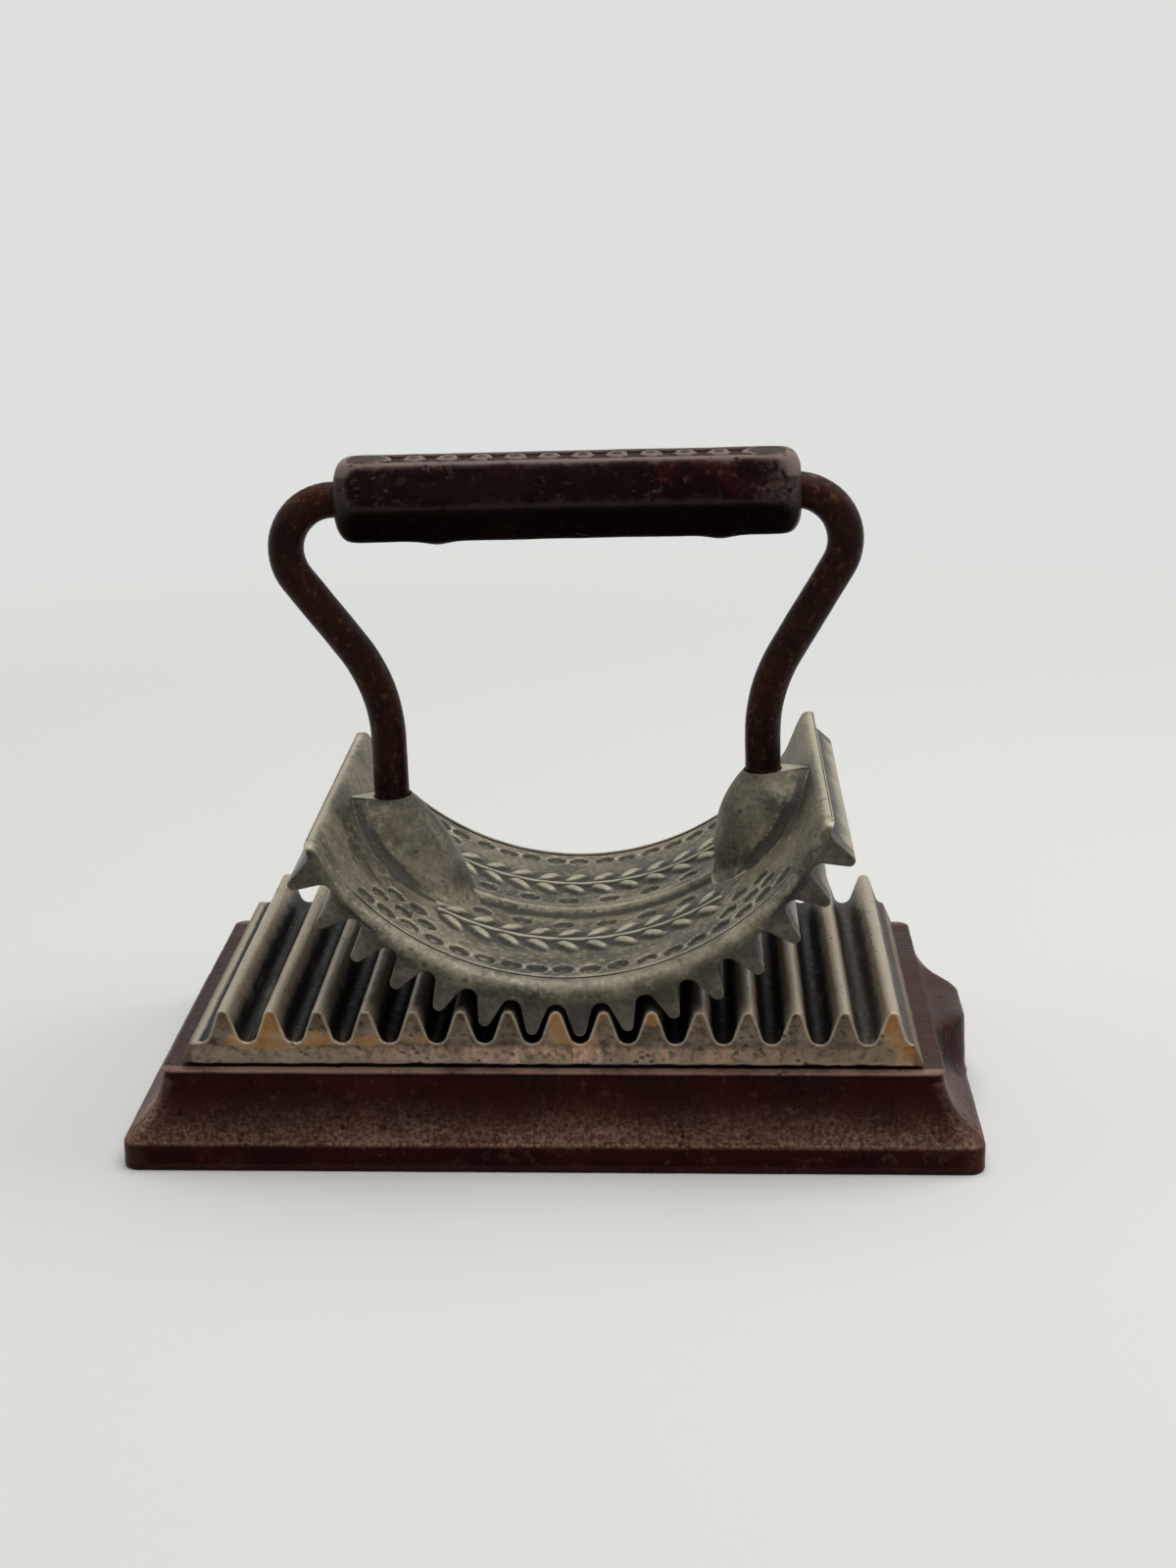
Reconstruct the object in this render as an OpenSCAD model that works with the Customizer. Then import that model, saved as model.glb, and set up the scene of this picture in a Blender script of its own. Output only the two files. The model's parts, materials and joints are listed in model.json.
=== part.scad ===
// Hand fluter for pressing flutes into damp, starched cloth: a heavy plinth carries a fluted
// bed plate, and a fluted rocker with a bail handle rolls over it with the cloth in between.
// Millimetres. +Z is up, +X runs along the flutes' row, the front faces -Y.
// The origin is the middle of the foot, on the table.

/* [Bed plate] */
// Length of the bed plate, across the flutes
bed_length = 130.8; // [130:0.2:145]
// How far the ends of the bed plate lean in, from its bottom to the grooves
bed_lean = 1.6; // [0:0.1:1.7]
// How far the bed plate stands past the rocker at the front and back
bed_margin = 0; // [-4:0.1:8]
// Thickness of the bed plate under its flutes
bed_floor = 4.1; // [3.5:0.1:7]
// Height of the bed's flutes
bed_tooth_height = 6.2; // [6:0.05:6.4]
// Distance from flute to flute
tooth_pitch = 8.35; // [8.2:0.05:8.5]
// Number of flutes on the bed
bed_teeth = 15; // [9:2:15]
// How far the bed's row of flutes is cast off centre
row_shift = 1; // [-1.5:0.1:1.5]
// Rounding of the bed's flute tips
bed_tip_round = 1.2; // [1:0.05:1.35]
// Rounding of the grooves between the bed's flutes
bed_root_round = 1.7; // [1.5:0.05:1.9]

/* [Base] */
// Margin of the base's top beyond each end of the bed plate
top_margin_end = 3.4; // [2:0.1:6]
// Margin of the base's top beyond the front and back of the bed plate
top_margin_side = 1.5; // [1:0.1:5]
// How far the foot stands out past the top at each end
foot_reach_end = 7.5; // [7:0.1:12]
// How far the foot stands out past the top at the front and back
foot_reach_side = 3; // [2:0.1:6]
// Height of the base's top edge above the table
base_height = 18.1; // [17:0.1:24]
// Height of the upright edge of the foot
foot_height = 5.4; // [5:0.1:6]
// Size of the bevel on the foot's top edge
foot_bevel = 0.6; // [0.3:0.1:1]
// Rounding of the foot's upright corners
foot_corner = 3; // [1:0.5:4]
// Height where the hollow moulding above the foot turns upright
cove_top = 14.2; // [12:0.1:15]
// Part of the moulding's quarter curve that the foot's edge cuts off
cove_start = 40; // [20:1:50]
// Rounding of the top's edge
bead_round = 1.5; // [0.5:0.1:2]
// Thickness of the casting's top and walls
base_wall = 5.4; // [4:0.1:7]
// Height of the raised seat that the bed plate lies on
seat_height = 0.5; // [0.3:0.1:1]
// How far the seat stands in from the bed plate's edge
seat_inset = 3; // [1:0.5:6]

/* [Lifting lug] */
// Width of the lug at its outer edge
lug_width = 26; // [16:1:34]
// Extra width of the lug where it joins the base, on each side
lug_flare = 5; // [2:0.5:8]
// How far the lug's edge stays inside the foot's edge
lug_setback = 1.2; // [0.5:0.1:3]
// How far the lug's top slopes down to its edge
lug_drop = 1.8; // [0.5:0.1:3]
// Rounding of the lug's corners, seen from above
lug_corner = 4; // [2:0.5:6]

/* [Bed screws] */
// Distance between the two screws that hold the bed plate
screw_spacing = 83.5; // [70:0.5:100]
// Diameter of the screws
screw_d = 5; // [4:0.1:5.6]
// Depth of the screws' thread in the bed plate
screw_engagement = 3.2; // [2.4:0.1:3.3]
// Diameter of the screw heads
screw_head_d = 9; // [8:0.1:10]
// Height of the screw heads
screw_head_h = 3; // [2:0.1:3.2]
// Width of the screwdriver slots
slot_width = 1.2; // [0.8:0.1:1.6]
// Depth of the screwdriver slots
slot_depth = 1.2; // [0.8:0.1:1.6]
// Outer diameter of the washers
washer_d = 12; // [11:0.1:13]
// Thickness of the washers
washer_t = 1.2; // [0.8:0.1:1.6]
// Diameter of the pads cast under the base's top for the screws
pad_d = 16; // [14:0.5:20]
// Height of those pads
pad_h = 3; // [1:0.1:4]
// Play of the screws in the base's holes, on each side
screw_play = 0.3; // [0.1:0.05:0.5]

/* [Rocker] */
// Depth of the rocker, along its flutes
rocker_depth = 72; // [56:0.5:90]
// Number of flutes on the rocker
rocker_teeth = 15; // [13:2:15]
// Number of flutes that a full circle of the rocker would have
circle_teeth = 40; // [40:1:41]
// Height of the rocker's flutes
rocker_tooth_height = 6; // [5.9:0.05:6.1]
// How far the rocker's flutes stand out past its rolling circle
rocker_addendum = 1.44; // [1.35:0.01:1.5]
// Rounding of the rocker's flute tips
rocker_tip_round = 1.1; // [1:0.05:1.2]
// Rounding of the grooves between the rocker's flutes
rocker_root_round = 1.7; // [1.5:0.05:1.9]
// Gap left for the cloth between the flute tips and the grooves
cloth_gap = 1.2; // [1.1:0.05:1.3]
// How far the rocker is rolled to the left as it stands
rest_roll = 2.67; // [-3:0.01:3]
// Thickness of the shoe and cradle together at the middle, under the grooves
shell_thickness = 4; // [3.6:0.1:5]
// Thickness of the shoe's floor at the middle
shoe_floor = 2; // [1.6:0.1:2.2]
// How far the centre of the inner curve lies above the rolling centre
crescent_rise = 5; // [4:0.1:5.5]
// How far the centre of the curve between shoe and cradle lies above the rolling centre
floor_rise = 2.5; // [2:0.1:3]
// Plain land left past the last flute at each end
end_land = 1.3; // [0.5:0.1:2]
// Thickness of the shoe's front and back lips
lip_thickness = 3; // [2.8:0.1:5]
// Rounding of the lips' inner edge
lip_round = 2.5; // [1.5:0.1:2.7]
// Seam between the lips and the cradle
lip_seam = 0.3; // [0.2:0.05:0.5]
// Seam between the shoe's floor and the cradle
floor_seam = 0.05; // [0.02:0.01:0.1]
// Height of the rib that joins the two bosses
rib_height = 1.3; // [0.8:0.1:2]
// Width of that rib
rib_width = 4; // [2:0.1:6]

/* [Bail handle] */
// Distance of each post from the rocker's middle
post_x = 34.3; // [33.5:0.1:35]
// Depth of the left boss's top, below the rolling centre
boss_drop_left = 19.8; // [19:0.1:20.5]
// Depth of the right boss's top, below the rolling centre
boss_drop_right = 18; // [17.5:0.1:19]
// Level ring left round the rod on top of each boss
boss_land = 0.2; // [0.1:0.1:0.6]
// Slope of the bosses' sides below that ring, from upright
boss_shoulder = 45; // [40:1:50]
// Radius of the curve of the left boss's side
boss_curve_left = 37; // [34:0.5:38]
// Radius of the curve of the right boss's side
boss_curve_right = 21; // [19:0.5:22]
// Slope of the left boss's side at its foot, from upright
boss_foot_left = 12; // [8:1:14]
// Slope of the right boss's side at its foot, from upright
boss_foot_right = 1; // [0:1:4]
// Depth of the sockets for the rod, below the bosses' top
socket_depth = 10; // [8:0.1:10.5]
// Diameter of the bail's rod
rod_d = 6.6; // [6:0.1:7]
// Play of the rod in its sockets and in the grip, on each side
rod_play = 0.05; // [0.02:0.01:0.1]
// Height of the grip's axis above the rolling centre
grip_rise = 34.4; // [33:0.2:40]
// Distance of the rod's outermost bend from the middle, on the left
bail_reach_left = 51; // [50.6:0.1:52]
// Distance of the rod's outermost bend from the middle, on the right
bail_reach_right = 49.3; // [49:0.1:51]
// Radius of the bends beside the grip
shoulder_bend = 9; // [8:0.1:9.2]
// Radius of the bends above the posts
post_bend = 30; // [20:0.5:32]
// How far the left leg of the bail leans out from upright
lean_left = 36.4; // [34:0.1:37]
// How far the right leg of the bail leans out from upright
lean_right = 31; // [29:0.1:32]
// How far the bail is bent over to the right, against the rocker
bail_lean = 1.73; // [0:0.01:2]

/* [Grip] */
// Length of the grip
grip_length = 82.8; // [70:0.2:84]
// Distance between opposite flats of the grip
grip_flats = 14.8; // [13:0.1:18]
// Rounding of the grip's ends
grip_end_round = 4.5; // [2:0.1:6]
// How far the grip is turned on the rod, towards the front
grip_turn = 3.5; // [0:0.1:6]
// Depth of the flared mouths of the grip's bore, where the rod's bends begin
mouth_depth = 4; // [3:0.5:6]
// Widening of those mouths on each side
mouth_flare = 0.6; // [0.5:0.05:0.65]

/* [Shoe screws] */
// Diameter of the screws that hold the shoe to the cradle
shoe_screw_d = 2.4; // [2:0.1:2.8]
// Diameter of their heads, which lie in the grooves
shoe_screw_head_d = 3.2; // [3:0.1:3.4]
// Height of their heads
shoe_screw_head_h = 0.6; // [0.4:0.05:0.8]
// Distance between the two screws of one boss
shoe_screw_spacing = 11; // [10:0.1:12]
// Depth of the shoe screws' thread in the cradle
shoe_screw_depth = 3; // [2.5:0.1:4]
// Play of the shoe screws in the shoe, on each side
shoe_screw_play = 0.1; // [0.05:0.01:0.15]

/* [Hidden] */

$fn = 64;
// Steps in the small roundings of a flute, and in the larger mouldings
flute_steps = 6;
moulding_steps = 10;
// Overlap of a cut past the face that it opens
cut = 1;

japanned = [0.24, 0.14, 0.14];
gunmetal = [0.45, 0.36, 0.28];
worn_iron = [0.47, 0.44, 0.38];
dark_rod = [0.2, 0.15, 0.13];
steel = [0.5, 0.49, 0.47];

// Base
bed_depth = rocker_depth + 2 * bed_margin;
top_half_length = bed_length / 2 + top_margin_end;
top_half_depth = bed_depth / 2 + top_margin_side;
foot_half_length = top_half_length + foot_reach_end;
foot_half_depth = top_half_depth + foot_reach_side;
ceiling = base_height - base_wall;
bed_z = base_height + seat_height;
root_z = bed_z + bed_floor;

// Bed screws
screw_seat_z = ceiling - pad_h;
screw_x = [-screw_spacing / 2, screw_spacing / 2];

// Rocker
tooth_step = 360 / circle_teeth;
pitch_r = circle_teeth * tooth_pitch / (2 * PI);
tip_r = pitch_r + rocker_addendum;
groove_r = tip_r - rocker_tooth_height;
rocker_z = root_z + cloth_gap + tip_r;
contact_x = row_shift + tooth_pitch / 2 - pitch_r * rest_roll * PI / 180;
end_angle = rocker_teeth / 2 * tooth_step;
land_angle = end_angle + end_land / groove_r * 180 / PI;
inner_r = groove_r - shell_thickness + crescent_rise;
floor_r = groove_r - shoe_floor + floor_rise;
cradle_half = rocker_depth / 2 - lip_thickness - lip_seam;
// The shoe screws sit in the second groove from each end
screw_groove = end_angle - 2 * tooth_step;

// Bail
rod_sides = 16;
left_leg = bail_leg(bail_reach_left, lean_left, boss_drop_left);
bail_path = concat(
    bail_leg(bail_reach_right, lean_right, boss_drop_right),
    [for (i = [len(left_leg) - 1:-1:0]) [-left_leg[i].x, left_leg[i].y]]
);

// One leg of the bail: up from its socket, out along the lean, and over towards the grip
function bail_leg(reach, lean, drop) =
    let (
        shoulder = [reach - shoulder_bend, grip_rise - shoulder_bend],
        lean_top = shoulder + shoulder_bend * [cos(lean), -sin(lean)],
        foot_x = post_x + post_bend * (1 - cos(lean)),
        foot_z = lean_top.y - (lean_top.x - foot_x) / tan(lean),
        post_centre = [post_x + post_bend, foot_z - post_bend * sin(lean)]
    )
    concat(
        [[post_x, rod_play - drop - socket_depth]],
        arc_points(post_centre, post_bend, 180, 180 - lean, flute_steps),
        arc_points(shoulder, shoulder_bend, -lean, 90, moulding_steps)
    );

// Points of an arc round c, from angle a0 to a1
function arc_points(c, r, a0, a1, steps) =
    [for (i = [0:steps]) let (a = a0 + (a1 - a0) * i / steps) c + r * [cos(a), sin(a)]];

// Direction in which a flute's straight flank faces, between its round tip and the next groove
function flank_angle(tip, root, tip_round, root_round) =
    atan2(root.y - tip.y, root.x - tip.x) + acos((tip_round + root_round) / norm(root - tip));

// Outline of one upright flute, from the bottom of the groove on its left to the one on its right
function flute(tip, root, tip_round, root_round, groove_end) =
    let (
        a = flank_angle(tip, root, tip_round, root_round),
        right = arc_points(root, root_round, 180 + a, groove_end, flute_steps)
    )
    concat(
        [for (i = [flute_steps:-1:0]) [-right[i].x, right[i].y]],
        arc_points(tip, tip_round, 180 - a, a, flute_steps),
        [for (i = [0:flute_steps - 1]) right[i]]
    );

function bed_flute() =
    flute(
        [0, bed_tooth_height - bed_tip_round], [tooth_pitch / 2, bed_root_round],
        bed_tip_round, bed_root_round, 270
    );

function rocker_flute() =
    flute(
        [0, tip_r - rocker_tip_round],
        (groove_r + rocker_root_round) * [sin(tooth_step / 2), cos(tooth_step / 2)],
        rocker_tip_round, rocker_root_round, 270 - tooth_step / 2
    );

// Right-hand edge of the base, seen along one side: foot, hollow moulding, neck and bead
function base_edge(foot_half, reach) =
    let (
        neck = foot_half - reach,
        edge = [foot_half - foot_bevel, foot_height + foot_bevel],
        wide = (edge.x - neck) / (1 - sin(cove_start)),
        high = (cove_top - edge.y) / cos(cove_start)
    )
    concat(
        [[foot_half, 0], [foot_half, foot_height]],
        [for (i = [0:moulding_steps])
            let (a = cove_start + (90 - cove_start) * i / moulding_steps)
            [neck + wide * (1 - sin(a)), cove_top - high * cos(a)]],
        arc_points([neck - bead_round, base_height - bead_round], bead_round, 0, 90, moulding_steps)
    );

// Extrudes an outline in X and Z along Y, with its middle at the middle of the object
module along_y(depth) {
    rotate([90, 0, 0])
        linear_extrude(height = depth, center = true)
            children();
}

// Extrudes an outline in Y and Z along X
module along_x(length) {
    rotate([90, 0, 90])
        linear_extrude(height = length, center = true)
            children();
}

module base_outline(foot_half, reach) {
    edge = base_edge(foot_half, reach);
    left = [for (i = [len(edge) - 1:-1:0]) [-edge[i].x, edge[i].y]];
    polygon(concat(edge, left));
}

module rounded_plan(half_x, half_y, corner, height) {
    linear_extrude(height = height) {
        square([2 * (half_x - corner), 2 * half_y], center = true);
        square([2 * half_x, 2 * (half_y - corner)], center = true);
        for (sx = [-1, 1], sy = [-1, 1])
            translate([sx * (half_x - corner), sy * (half_y - corner)])
                circle(corner);
    }
}

// The lug's plan: flared into the base, with round outer corners
module lug_plan(height) {
    outer_x = foot_half_length - lug_setback;
    round_x = outer_x - lug_corner;
    half = lug_width / 2;
    root_x = top_half_length - bead_round;
    // The flanks sweep in from the base in a hollow curve
    flank = [
        for (i = [0:moulding_steps])
            let (a = 90 * i / moulding_steps)
            [round_x - (round_x - root_x) * cos(a), half + lug_flare - lug_flare * sin(a)]
    ];
    linear_extrude(height = height) {
        polygon(concat(
            [[root_x - base_wall, half + lug_flare]],
            flank,
            [for (i = [moulding_steps:-1:0]) [flank[i].x, -flank[i].y]],
            [[root_x - base_wall, -half - lug_flare]]
        ));
        translate([round_x, -half + lug_corner])
            square([lug_corner, lug_width - 2 * lug_corner]);
        for (side = [-1, 1])
            translate([round_x, side * (half - lug_corner)])
                circle(lug_corner);
    }
}

// The lug's side: level with the top at the base, sloping down to its edge
module lug_side() {
    outer_x = foot_half_length;
    root_x = top_half_length - bead_round;
    along_y(lug_width + 2 * lug_flare + 2 * cut)
        polygon([
            [root_x - base_wall, foot_height / 2], [outer_x, foot_height / 2],
            [outer_x, base_height - lug_drop], [root_x, base_height], [root_x - base_wall, base_height]
        ]);
}

module base_casting() {
    color(japanned)
        difference() {
            union() {
                intersection() {
                    along_y(2 * foot_half_depth) base_outline(foot_half_length, foot_reach_end);
                    along_x(2 * foot_half_length) base_outline(foot_half_depth, foot_reach_side);
                    rounded_plan(foot_half_length, foot_half_depth, foot_corner, base_height);
                }
                intersection() {
                    lug_plan(base_height);
                    lug_side();
                }
                translate([0, 0, base_height - cut])
                    linear_extrude(height = cut + seat_height)
                        square([bed_length - 2 * seat_inset, bed_depth - 2 * seat_inset], center = true);
            }
            difference() {
                translate([0, 0, -cut])
                    rounded_plan(
                        top_half_length - base_wall, top_half_depth - base_wall, foot_corner,
                        ceiling + cut
                    );
                for (x = screw_x)
                    translate([x, 0, screw_seat_z])
                        cylinder(d = pad_d, h = pad_h + cut);
            }
            for (x = screw_x)
                translate([x, 0, screw_seat_z - cut])
                    cylinder(d = screw_d + 2 * screw_play, h = bed_z - screw_seat_z + 2 * cut);
        }
}

module bed_outline() {
    one = bed_flute();
    first = row_shift - (bed_teeth - 1) / 2 * tooth_pitch;
    flutes = [for (k = [0:bed_teeth - 1]) for (p = one) p + [first + k * tooth_pitch, bed_floor]];
    last = first + (bed_teeth - 0.5) * tooth_pitch;
    end = max(bed_length / 2 - bed_lean, last + cut / 10);
    polygon(concat(
        [[-bed_length / 2, 0], [-end, bed_floor]],
        flutes,
        [[last, bed_floor], [end, bed_floor], [bed_length / 2, 0]]
    ));
}

module bed_plate() {
    color(gunmetal)
        difference() {
            translate([0, 0, bed_z])
                along_y(bed_depth)
                    bed_outline();
            for (x = screw_x)
                translate([x, 0, bed_z - cut])
                    cylinder(d = screw_d + 2 * rod_play, h = screw_engagement + cut);
        }
}

module bed_screws() {
    head_z = screw_seat_z - washer_t - screw_head_h;
    color(steel)
        for (x = screw_x)
            translate([x, 0, head_z])
                difference() {
                    union() {
                        cylinder(d = screw_head_d, h = screw_head_h);
                        cylinder(d = screw_d, h = bed_z + screw_engagement - rod_play - head_z);
                    }
                    translate([-screw_head_d, -slot_width / 2, -cut])
                        cube([2 * screw_head_d, slot_width, slot_depth + cut]);
                }
}

module bed_washers() {
    color(steel)
        for (x = screw_x)
            translate([x, 0, screw_seat_z - washer_t])
                difference() {
                    cylinder(d = washer_d, h = washer_t);
                    translate([0, 0, -cut])
                        cylinder(d = screw_d + 2 * screw_play, h = washer_t + 2 * cut);
                }
}

// Places what is drawn round the rocker's rolling centre
module rocker_frame() {
    translate([contact_x, 0, rocker_z])
        rotate([0, -rest_roll, 0])
            children();
}

// Places what belongs to the bail, which leans over from the top of the right boss
module bail_frame() {
    translate([0, 0, -boss_drop_right])
        rotate([0, bail_lean, 0])
            translate([0, 0, boss_drop_right])
                children();
}

// The part of a circle that lies between the rocker's two ends
module rocker_sector() {
    far = 2 * tip_r;
    polygon([
        [0, 0], far * [-sin(land_angle), -cos(land_angle)], [-far, -far],
        [far, -far], far * [sin(land_angle), -cos(land_angle)]
    ]);
}

module fluted_sector() {
    one = rocker_flute();
    first = -(rocker_teeth - 1) / 2 * tooth_step;
    end = groove_r * [sin(land_angle), -cos(land_angle)];
    last = groove_r * [sin(end_angle), -cos(end_angle)];
    flutes = [
        for (k = [0:rocker_teeth - 1])
            let (a = first + k * tooth_step)
            for (p = one) [p.x * cos(a) + p.y * sin(a), p.x * sin(a) - p.y * cos(a)]
    ];
    polygon(concat([[0, 0], [-end.x, end.y]], flutes, [last, end]));
}

// A screw hole or shank in a groove of the shoe: its axis points out of the rocker
module at_shoe_screws() {
    for (side = [-1, 1], row = [-1, 1])
        translate([0, row * shoe_screw_spacing / 2, 0])
            rotate([0, 180 - side * screw_groove, 0])
                children();
}

// What the rounding takes off the inner edge of the front lip
module lip_edge() {
    translate([0, -rocker_depth / 2, crescent_rise])
        rotate([-90, 0, 0])
            rotate_extrude($fn = 128)
                polygon(concat(
                    [[inner_r - cut, lip_round], [inner_r - cut, -cut], [inner_r + lip_round, -cut]],
                    arc_points([inner_r + lip_round, lip_round], lip_round, 270, 180, moulding_steps)
                ));
}

module rocker_shoe() {
    color(worn_iron)
        rocker_frame()
            difference() {
                along_y(rocker_depth)
                    difference() {
                        fluted_sector();
                        translate([0, crescent_rise])
                            circle(inner_r, $fn = 128);
                    }
                lip_edge();
                mirror([0, 1, 0]) lip_edge();
                along_y(rocker_depth - 2 * lip_thickness)
                    translate([0, floor_rise])
                        circle(floor_r, $fn = 128);
                at_shoe_screws() {
                    cylinder(d = shoe_screw_d + 2 * shoe_screw_play, h = tip_r);
                    translate([0, 0, groove_r - shoe_screw_head_h])
                        cylinder(d = shoe_screw_head_d + 2 * shoe_screw_play, h = rocker_tooth_height);
                }
            }
}

// One boss: a rounded socket that broadens downwards and runs out to the rocker's end
module boss(side, drop, curve, foot_slope) {
    foot = drop - groove_r;
    centre = [rod_d / 2 + boss_land - curve * cos(boss_shoulder), -curve * sin(boss_shoulder)];
    round_edge = arc_points(centre, curve, foot_slope, boss_shoulder, moulding_steps);
    edge = concat(
        [[round_edge[0].x + (round_edge[0].y - foot) * tan(foot_slope), foot]],
        round_edge
    );
    bail_frame()
        translate([side * post_x, 0, -drop]) {
            rotate_extrude()
                polygon(concat([[0, foot]], edge, [[0, 0]]));
            rotate([90, 0, 90 * side])
                linear_extrude(height = groove_r - post_x)
                    polygon(concat(edge, [for (i = [len(edge) - 1:-1:0]) [-edge[i].x, edge[i].y]]));
        }
}

// The hole for the rod in one boss
module rod_socket(side, drop) {
    bail_frame()
        translate([side * post_x, 0, -drop - socket_depth])
            cylinder(d = rod_d + 2 * rod_play, h = socket_depth + drop);
}

module rocker_cradle() {
    color(worn_iron)
        rocker_frame()
            difference() {
                intersection() {
                    union() {
                        difference() {
                            along_y(2 * cradle_half)
                                rocker_sector();
                            along_y(2 * cradle_half + 2 * cut)
                                translate([0, crescent_rise])
                                    circle(inner_r, $fn = 128);
                        }
                        difference() {
                            along_y(rib_width)
                                rocker_sector();
                            along_y(rib_width + 2 * cut)
                                translate([0, crescent_rise])
                                    circle(inner_r - rib_height, $fn = 128);
                        }
                        boss(-1, boss_drop_left, boss_curve_left, boss_foot_left);
                        boss(1, boss_drop_right, boss_curve_right, boss_foot_right);
                    }
                    along_y(2 * cradle_half)
                        intersection() {
                            rocker_sector();
                            translate([0, floor_rise])
                                circle(floor_r - floor_seam, $fn = 128);
                        }
                }
                rod_socket(-1, boss_drop_left);
                rod_socket(1, boss_drop_right);
                at_shoe_screws()
                    translate([0, 0, groove_r - shoe_floor - shoe_screw_depth - shoe_screw_head_h])
                        cylinder(d = shoe_screw_d + 2 * rod_play, h = tip_r);
            }
}

module shoe_screws() {
    color(steel)
        rocker_frame()
            at_shoe_screws() {
                translate([0, 0, groove_r - shoe_floor - shoe_screw_depth])
                    cylinder(d = shoe_screw_d, h = shoe_floor + shoe_screw_depth - shoe_screw_head_h / 2);
                translate([0, 0, groove_r - shoe_screw_head_h])
                    cylinder(d = shoe_screw_head_d, h = shoe_screw_head_h);
            }
}

// Rings of points round the bail's path, each square to the path where it stands
function bail_rings() = [
    for (i = [0:len(bail_path) - 1])
        let (
            ahead = bail_path[min(i + 1, len(bail_path) - 1)],
            behind = bail_path[max(i - 1, 0)],
            run = (ahead - behind) / norm(ahead - behind)
        )
        for (j = [0:rod_sides - 1])
            let (a = 360 * j / rod_sides, out = rod_d / 2 * cos(a))
            [bail_path[i].x + out * run.y, rod_d / 2 * sin(a), bail_path[i].y - out * run.x]
];

module bail_rod() {
    last = (len(bail_path) - 1) * rod_sides;
    walls = [
        for (i = [0:len(bail_path) - 2], j = [0:rod_sides - 1])
            let (
                a = i * rod_sides + j,
                b = i * rod_sides + (j + 1) % rod_sides,
                c = b + rod_sides,
                d = a + rod_sides
            )
            each [[a, b, c], [a, c, d]]
    ];
    ends = [
        [for (j = [rod_sides - 1:-1:0]) j],
        [for (j = [0:rod_sides - 1]) last + j]
    ];
    color(dark_rod)
        rocker_frame()
            bail_frame()
                polyhedron(points = bail_rings(), faces = concat(walls, ends));
}

module grip() {
    half = grip_length / 2;
    corner_r = grip_flats / sqrt(3);
    color(japanned)
        rocker_frame()
            bail_frame()
                translate([0, 0, grip_rise])
                    rotate([grip_turn, 0, 0])
                        rotate([0, 90, 0])
                            difference() {
                                intersection() {
                                    rotate([0, 0, 30])
                                        cylinder(r = corner_r, h = grip_length, center = true, $fn = 6);
                                    rotate_extrude()
                                        polygon(concat(
                                            [[0, -half]],
                                            arc_points(
                                                [corner_r - grip_end_round, grip_end_round - half],
                                                grip_end_round, -90, 0, moulding_steps
                                            ),
                                            arc_points(
                                                [corner_r - grip_end_round, half - grip_end_round],
                                                grip_end_round, 0, 90, moulding_steps
                                            ),
                                            [[0, half]]
                                        ));
                                }
                                cylinder(d = rod_d + 2 * rod_play, h = grip_length + 2 * cut, center = true);
                                for (end = [-1, 1])
                                    translate([0, 0, end * (half - mouth_depth / 2)])
                                        cylinder(
                                            d1 = rod_d + 2 * rod_play + (1 - end) * mouth_flare,
                                            d2 = rod_d + 2 * rod_play + (1 + end) * mouth_flare,
                                            h = mouth_depth, center = true
                                        );
                            }
}

base_casting();
bed_plate();
bed_screws();
bed_washers();
rocker_shoe();
rocker_cradle();
shoe_screws();
bail_rod();
grip();
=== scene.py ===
import json
import math

import bmesh
import bpy
import numpy as np
from mathutils import Matrix, Vector, noise


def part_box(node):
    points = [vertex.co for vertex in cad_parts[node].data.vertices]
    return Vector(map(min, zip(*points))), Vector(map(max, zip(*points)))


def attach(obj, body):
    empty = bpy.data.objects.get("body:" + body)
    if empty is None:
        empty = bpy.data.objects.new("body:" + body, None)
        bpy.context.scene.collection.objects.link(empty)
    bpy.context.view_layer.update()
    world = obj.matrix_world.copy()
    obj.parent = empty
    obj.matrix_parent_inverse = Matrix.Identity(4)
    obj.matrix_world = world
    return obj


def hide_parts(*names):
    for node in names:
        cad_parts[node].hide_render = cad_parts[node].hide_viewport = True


MM = 0.001

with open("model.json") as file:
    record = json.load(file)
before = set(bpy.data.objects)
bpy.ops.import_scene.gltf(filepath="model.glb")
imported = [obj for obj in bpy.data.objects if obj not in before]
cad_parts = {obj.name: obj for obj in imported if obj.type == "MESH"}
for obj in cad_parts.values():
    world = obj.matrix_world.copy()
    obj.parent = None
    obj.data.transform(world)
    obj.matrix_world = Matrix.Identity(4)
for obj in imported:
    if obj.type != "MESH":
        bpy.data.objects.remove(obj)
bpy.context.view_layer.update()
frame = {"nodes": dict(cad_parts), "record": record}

# Sizes are in millimetres and angles in degrees. The outer sizes of plinth and bed come from the frame.
base_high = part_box("base_casting")[1] / MM
bed_low, bed_high = [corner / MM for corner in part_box("bed_plate")]
pivot = Vector(frame["record"]["behaviour"]["joints"][0]["pos_m"]) / MM

# Sizes of the plinth and its lug
FOOT_X = base_high.x
FOOT_Y = base_high.y
FOOT_HEIGHT = 5.4
FOOT_BEVEL = 0.9
FOOT_INSET = 0.06
FOOT_ROUND = 1.4
FOOT_ROUND_START = FOOT_HEIGHT - 0.95
FOOT_CORNER = 3.0
BASE_TOP = 18.1
TOP_CORNER = 2.2
REACH_X = 7.5
REACH_Y = 3.0
COVE_START = 40
COVE_TOP = 15.8
END_SLOPE = 0.3
END_SLOPE_TOP = 16.8
LIP_INSET = 0.05
BEAD = 0.5
BEAD_INSET = 0.32
WALL = 5.4
HOLLOW_CORNER = 3.0
PLINTH_WEAR = 0.0012
PLINTH_WEAR_SIZE = 14
LUG_EDGE = FOOT_X - 0.6
LUG_ROOT = FOOT_X - REACH_X - 1.5
LUG_HALF = 13.0
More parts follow.
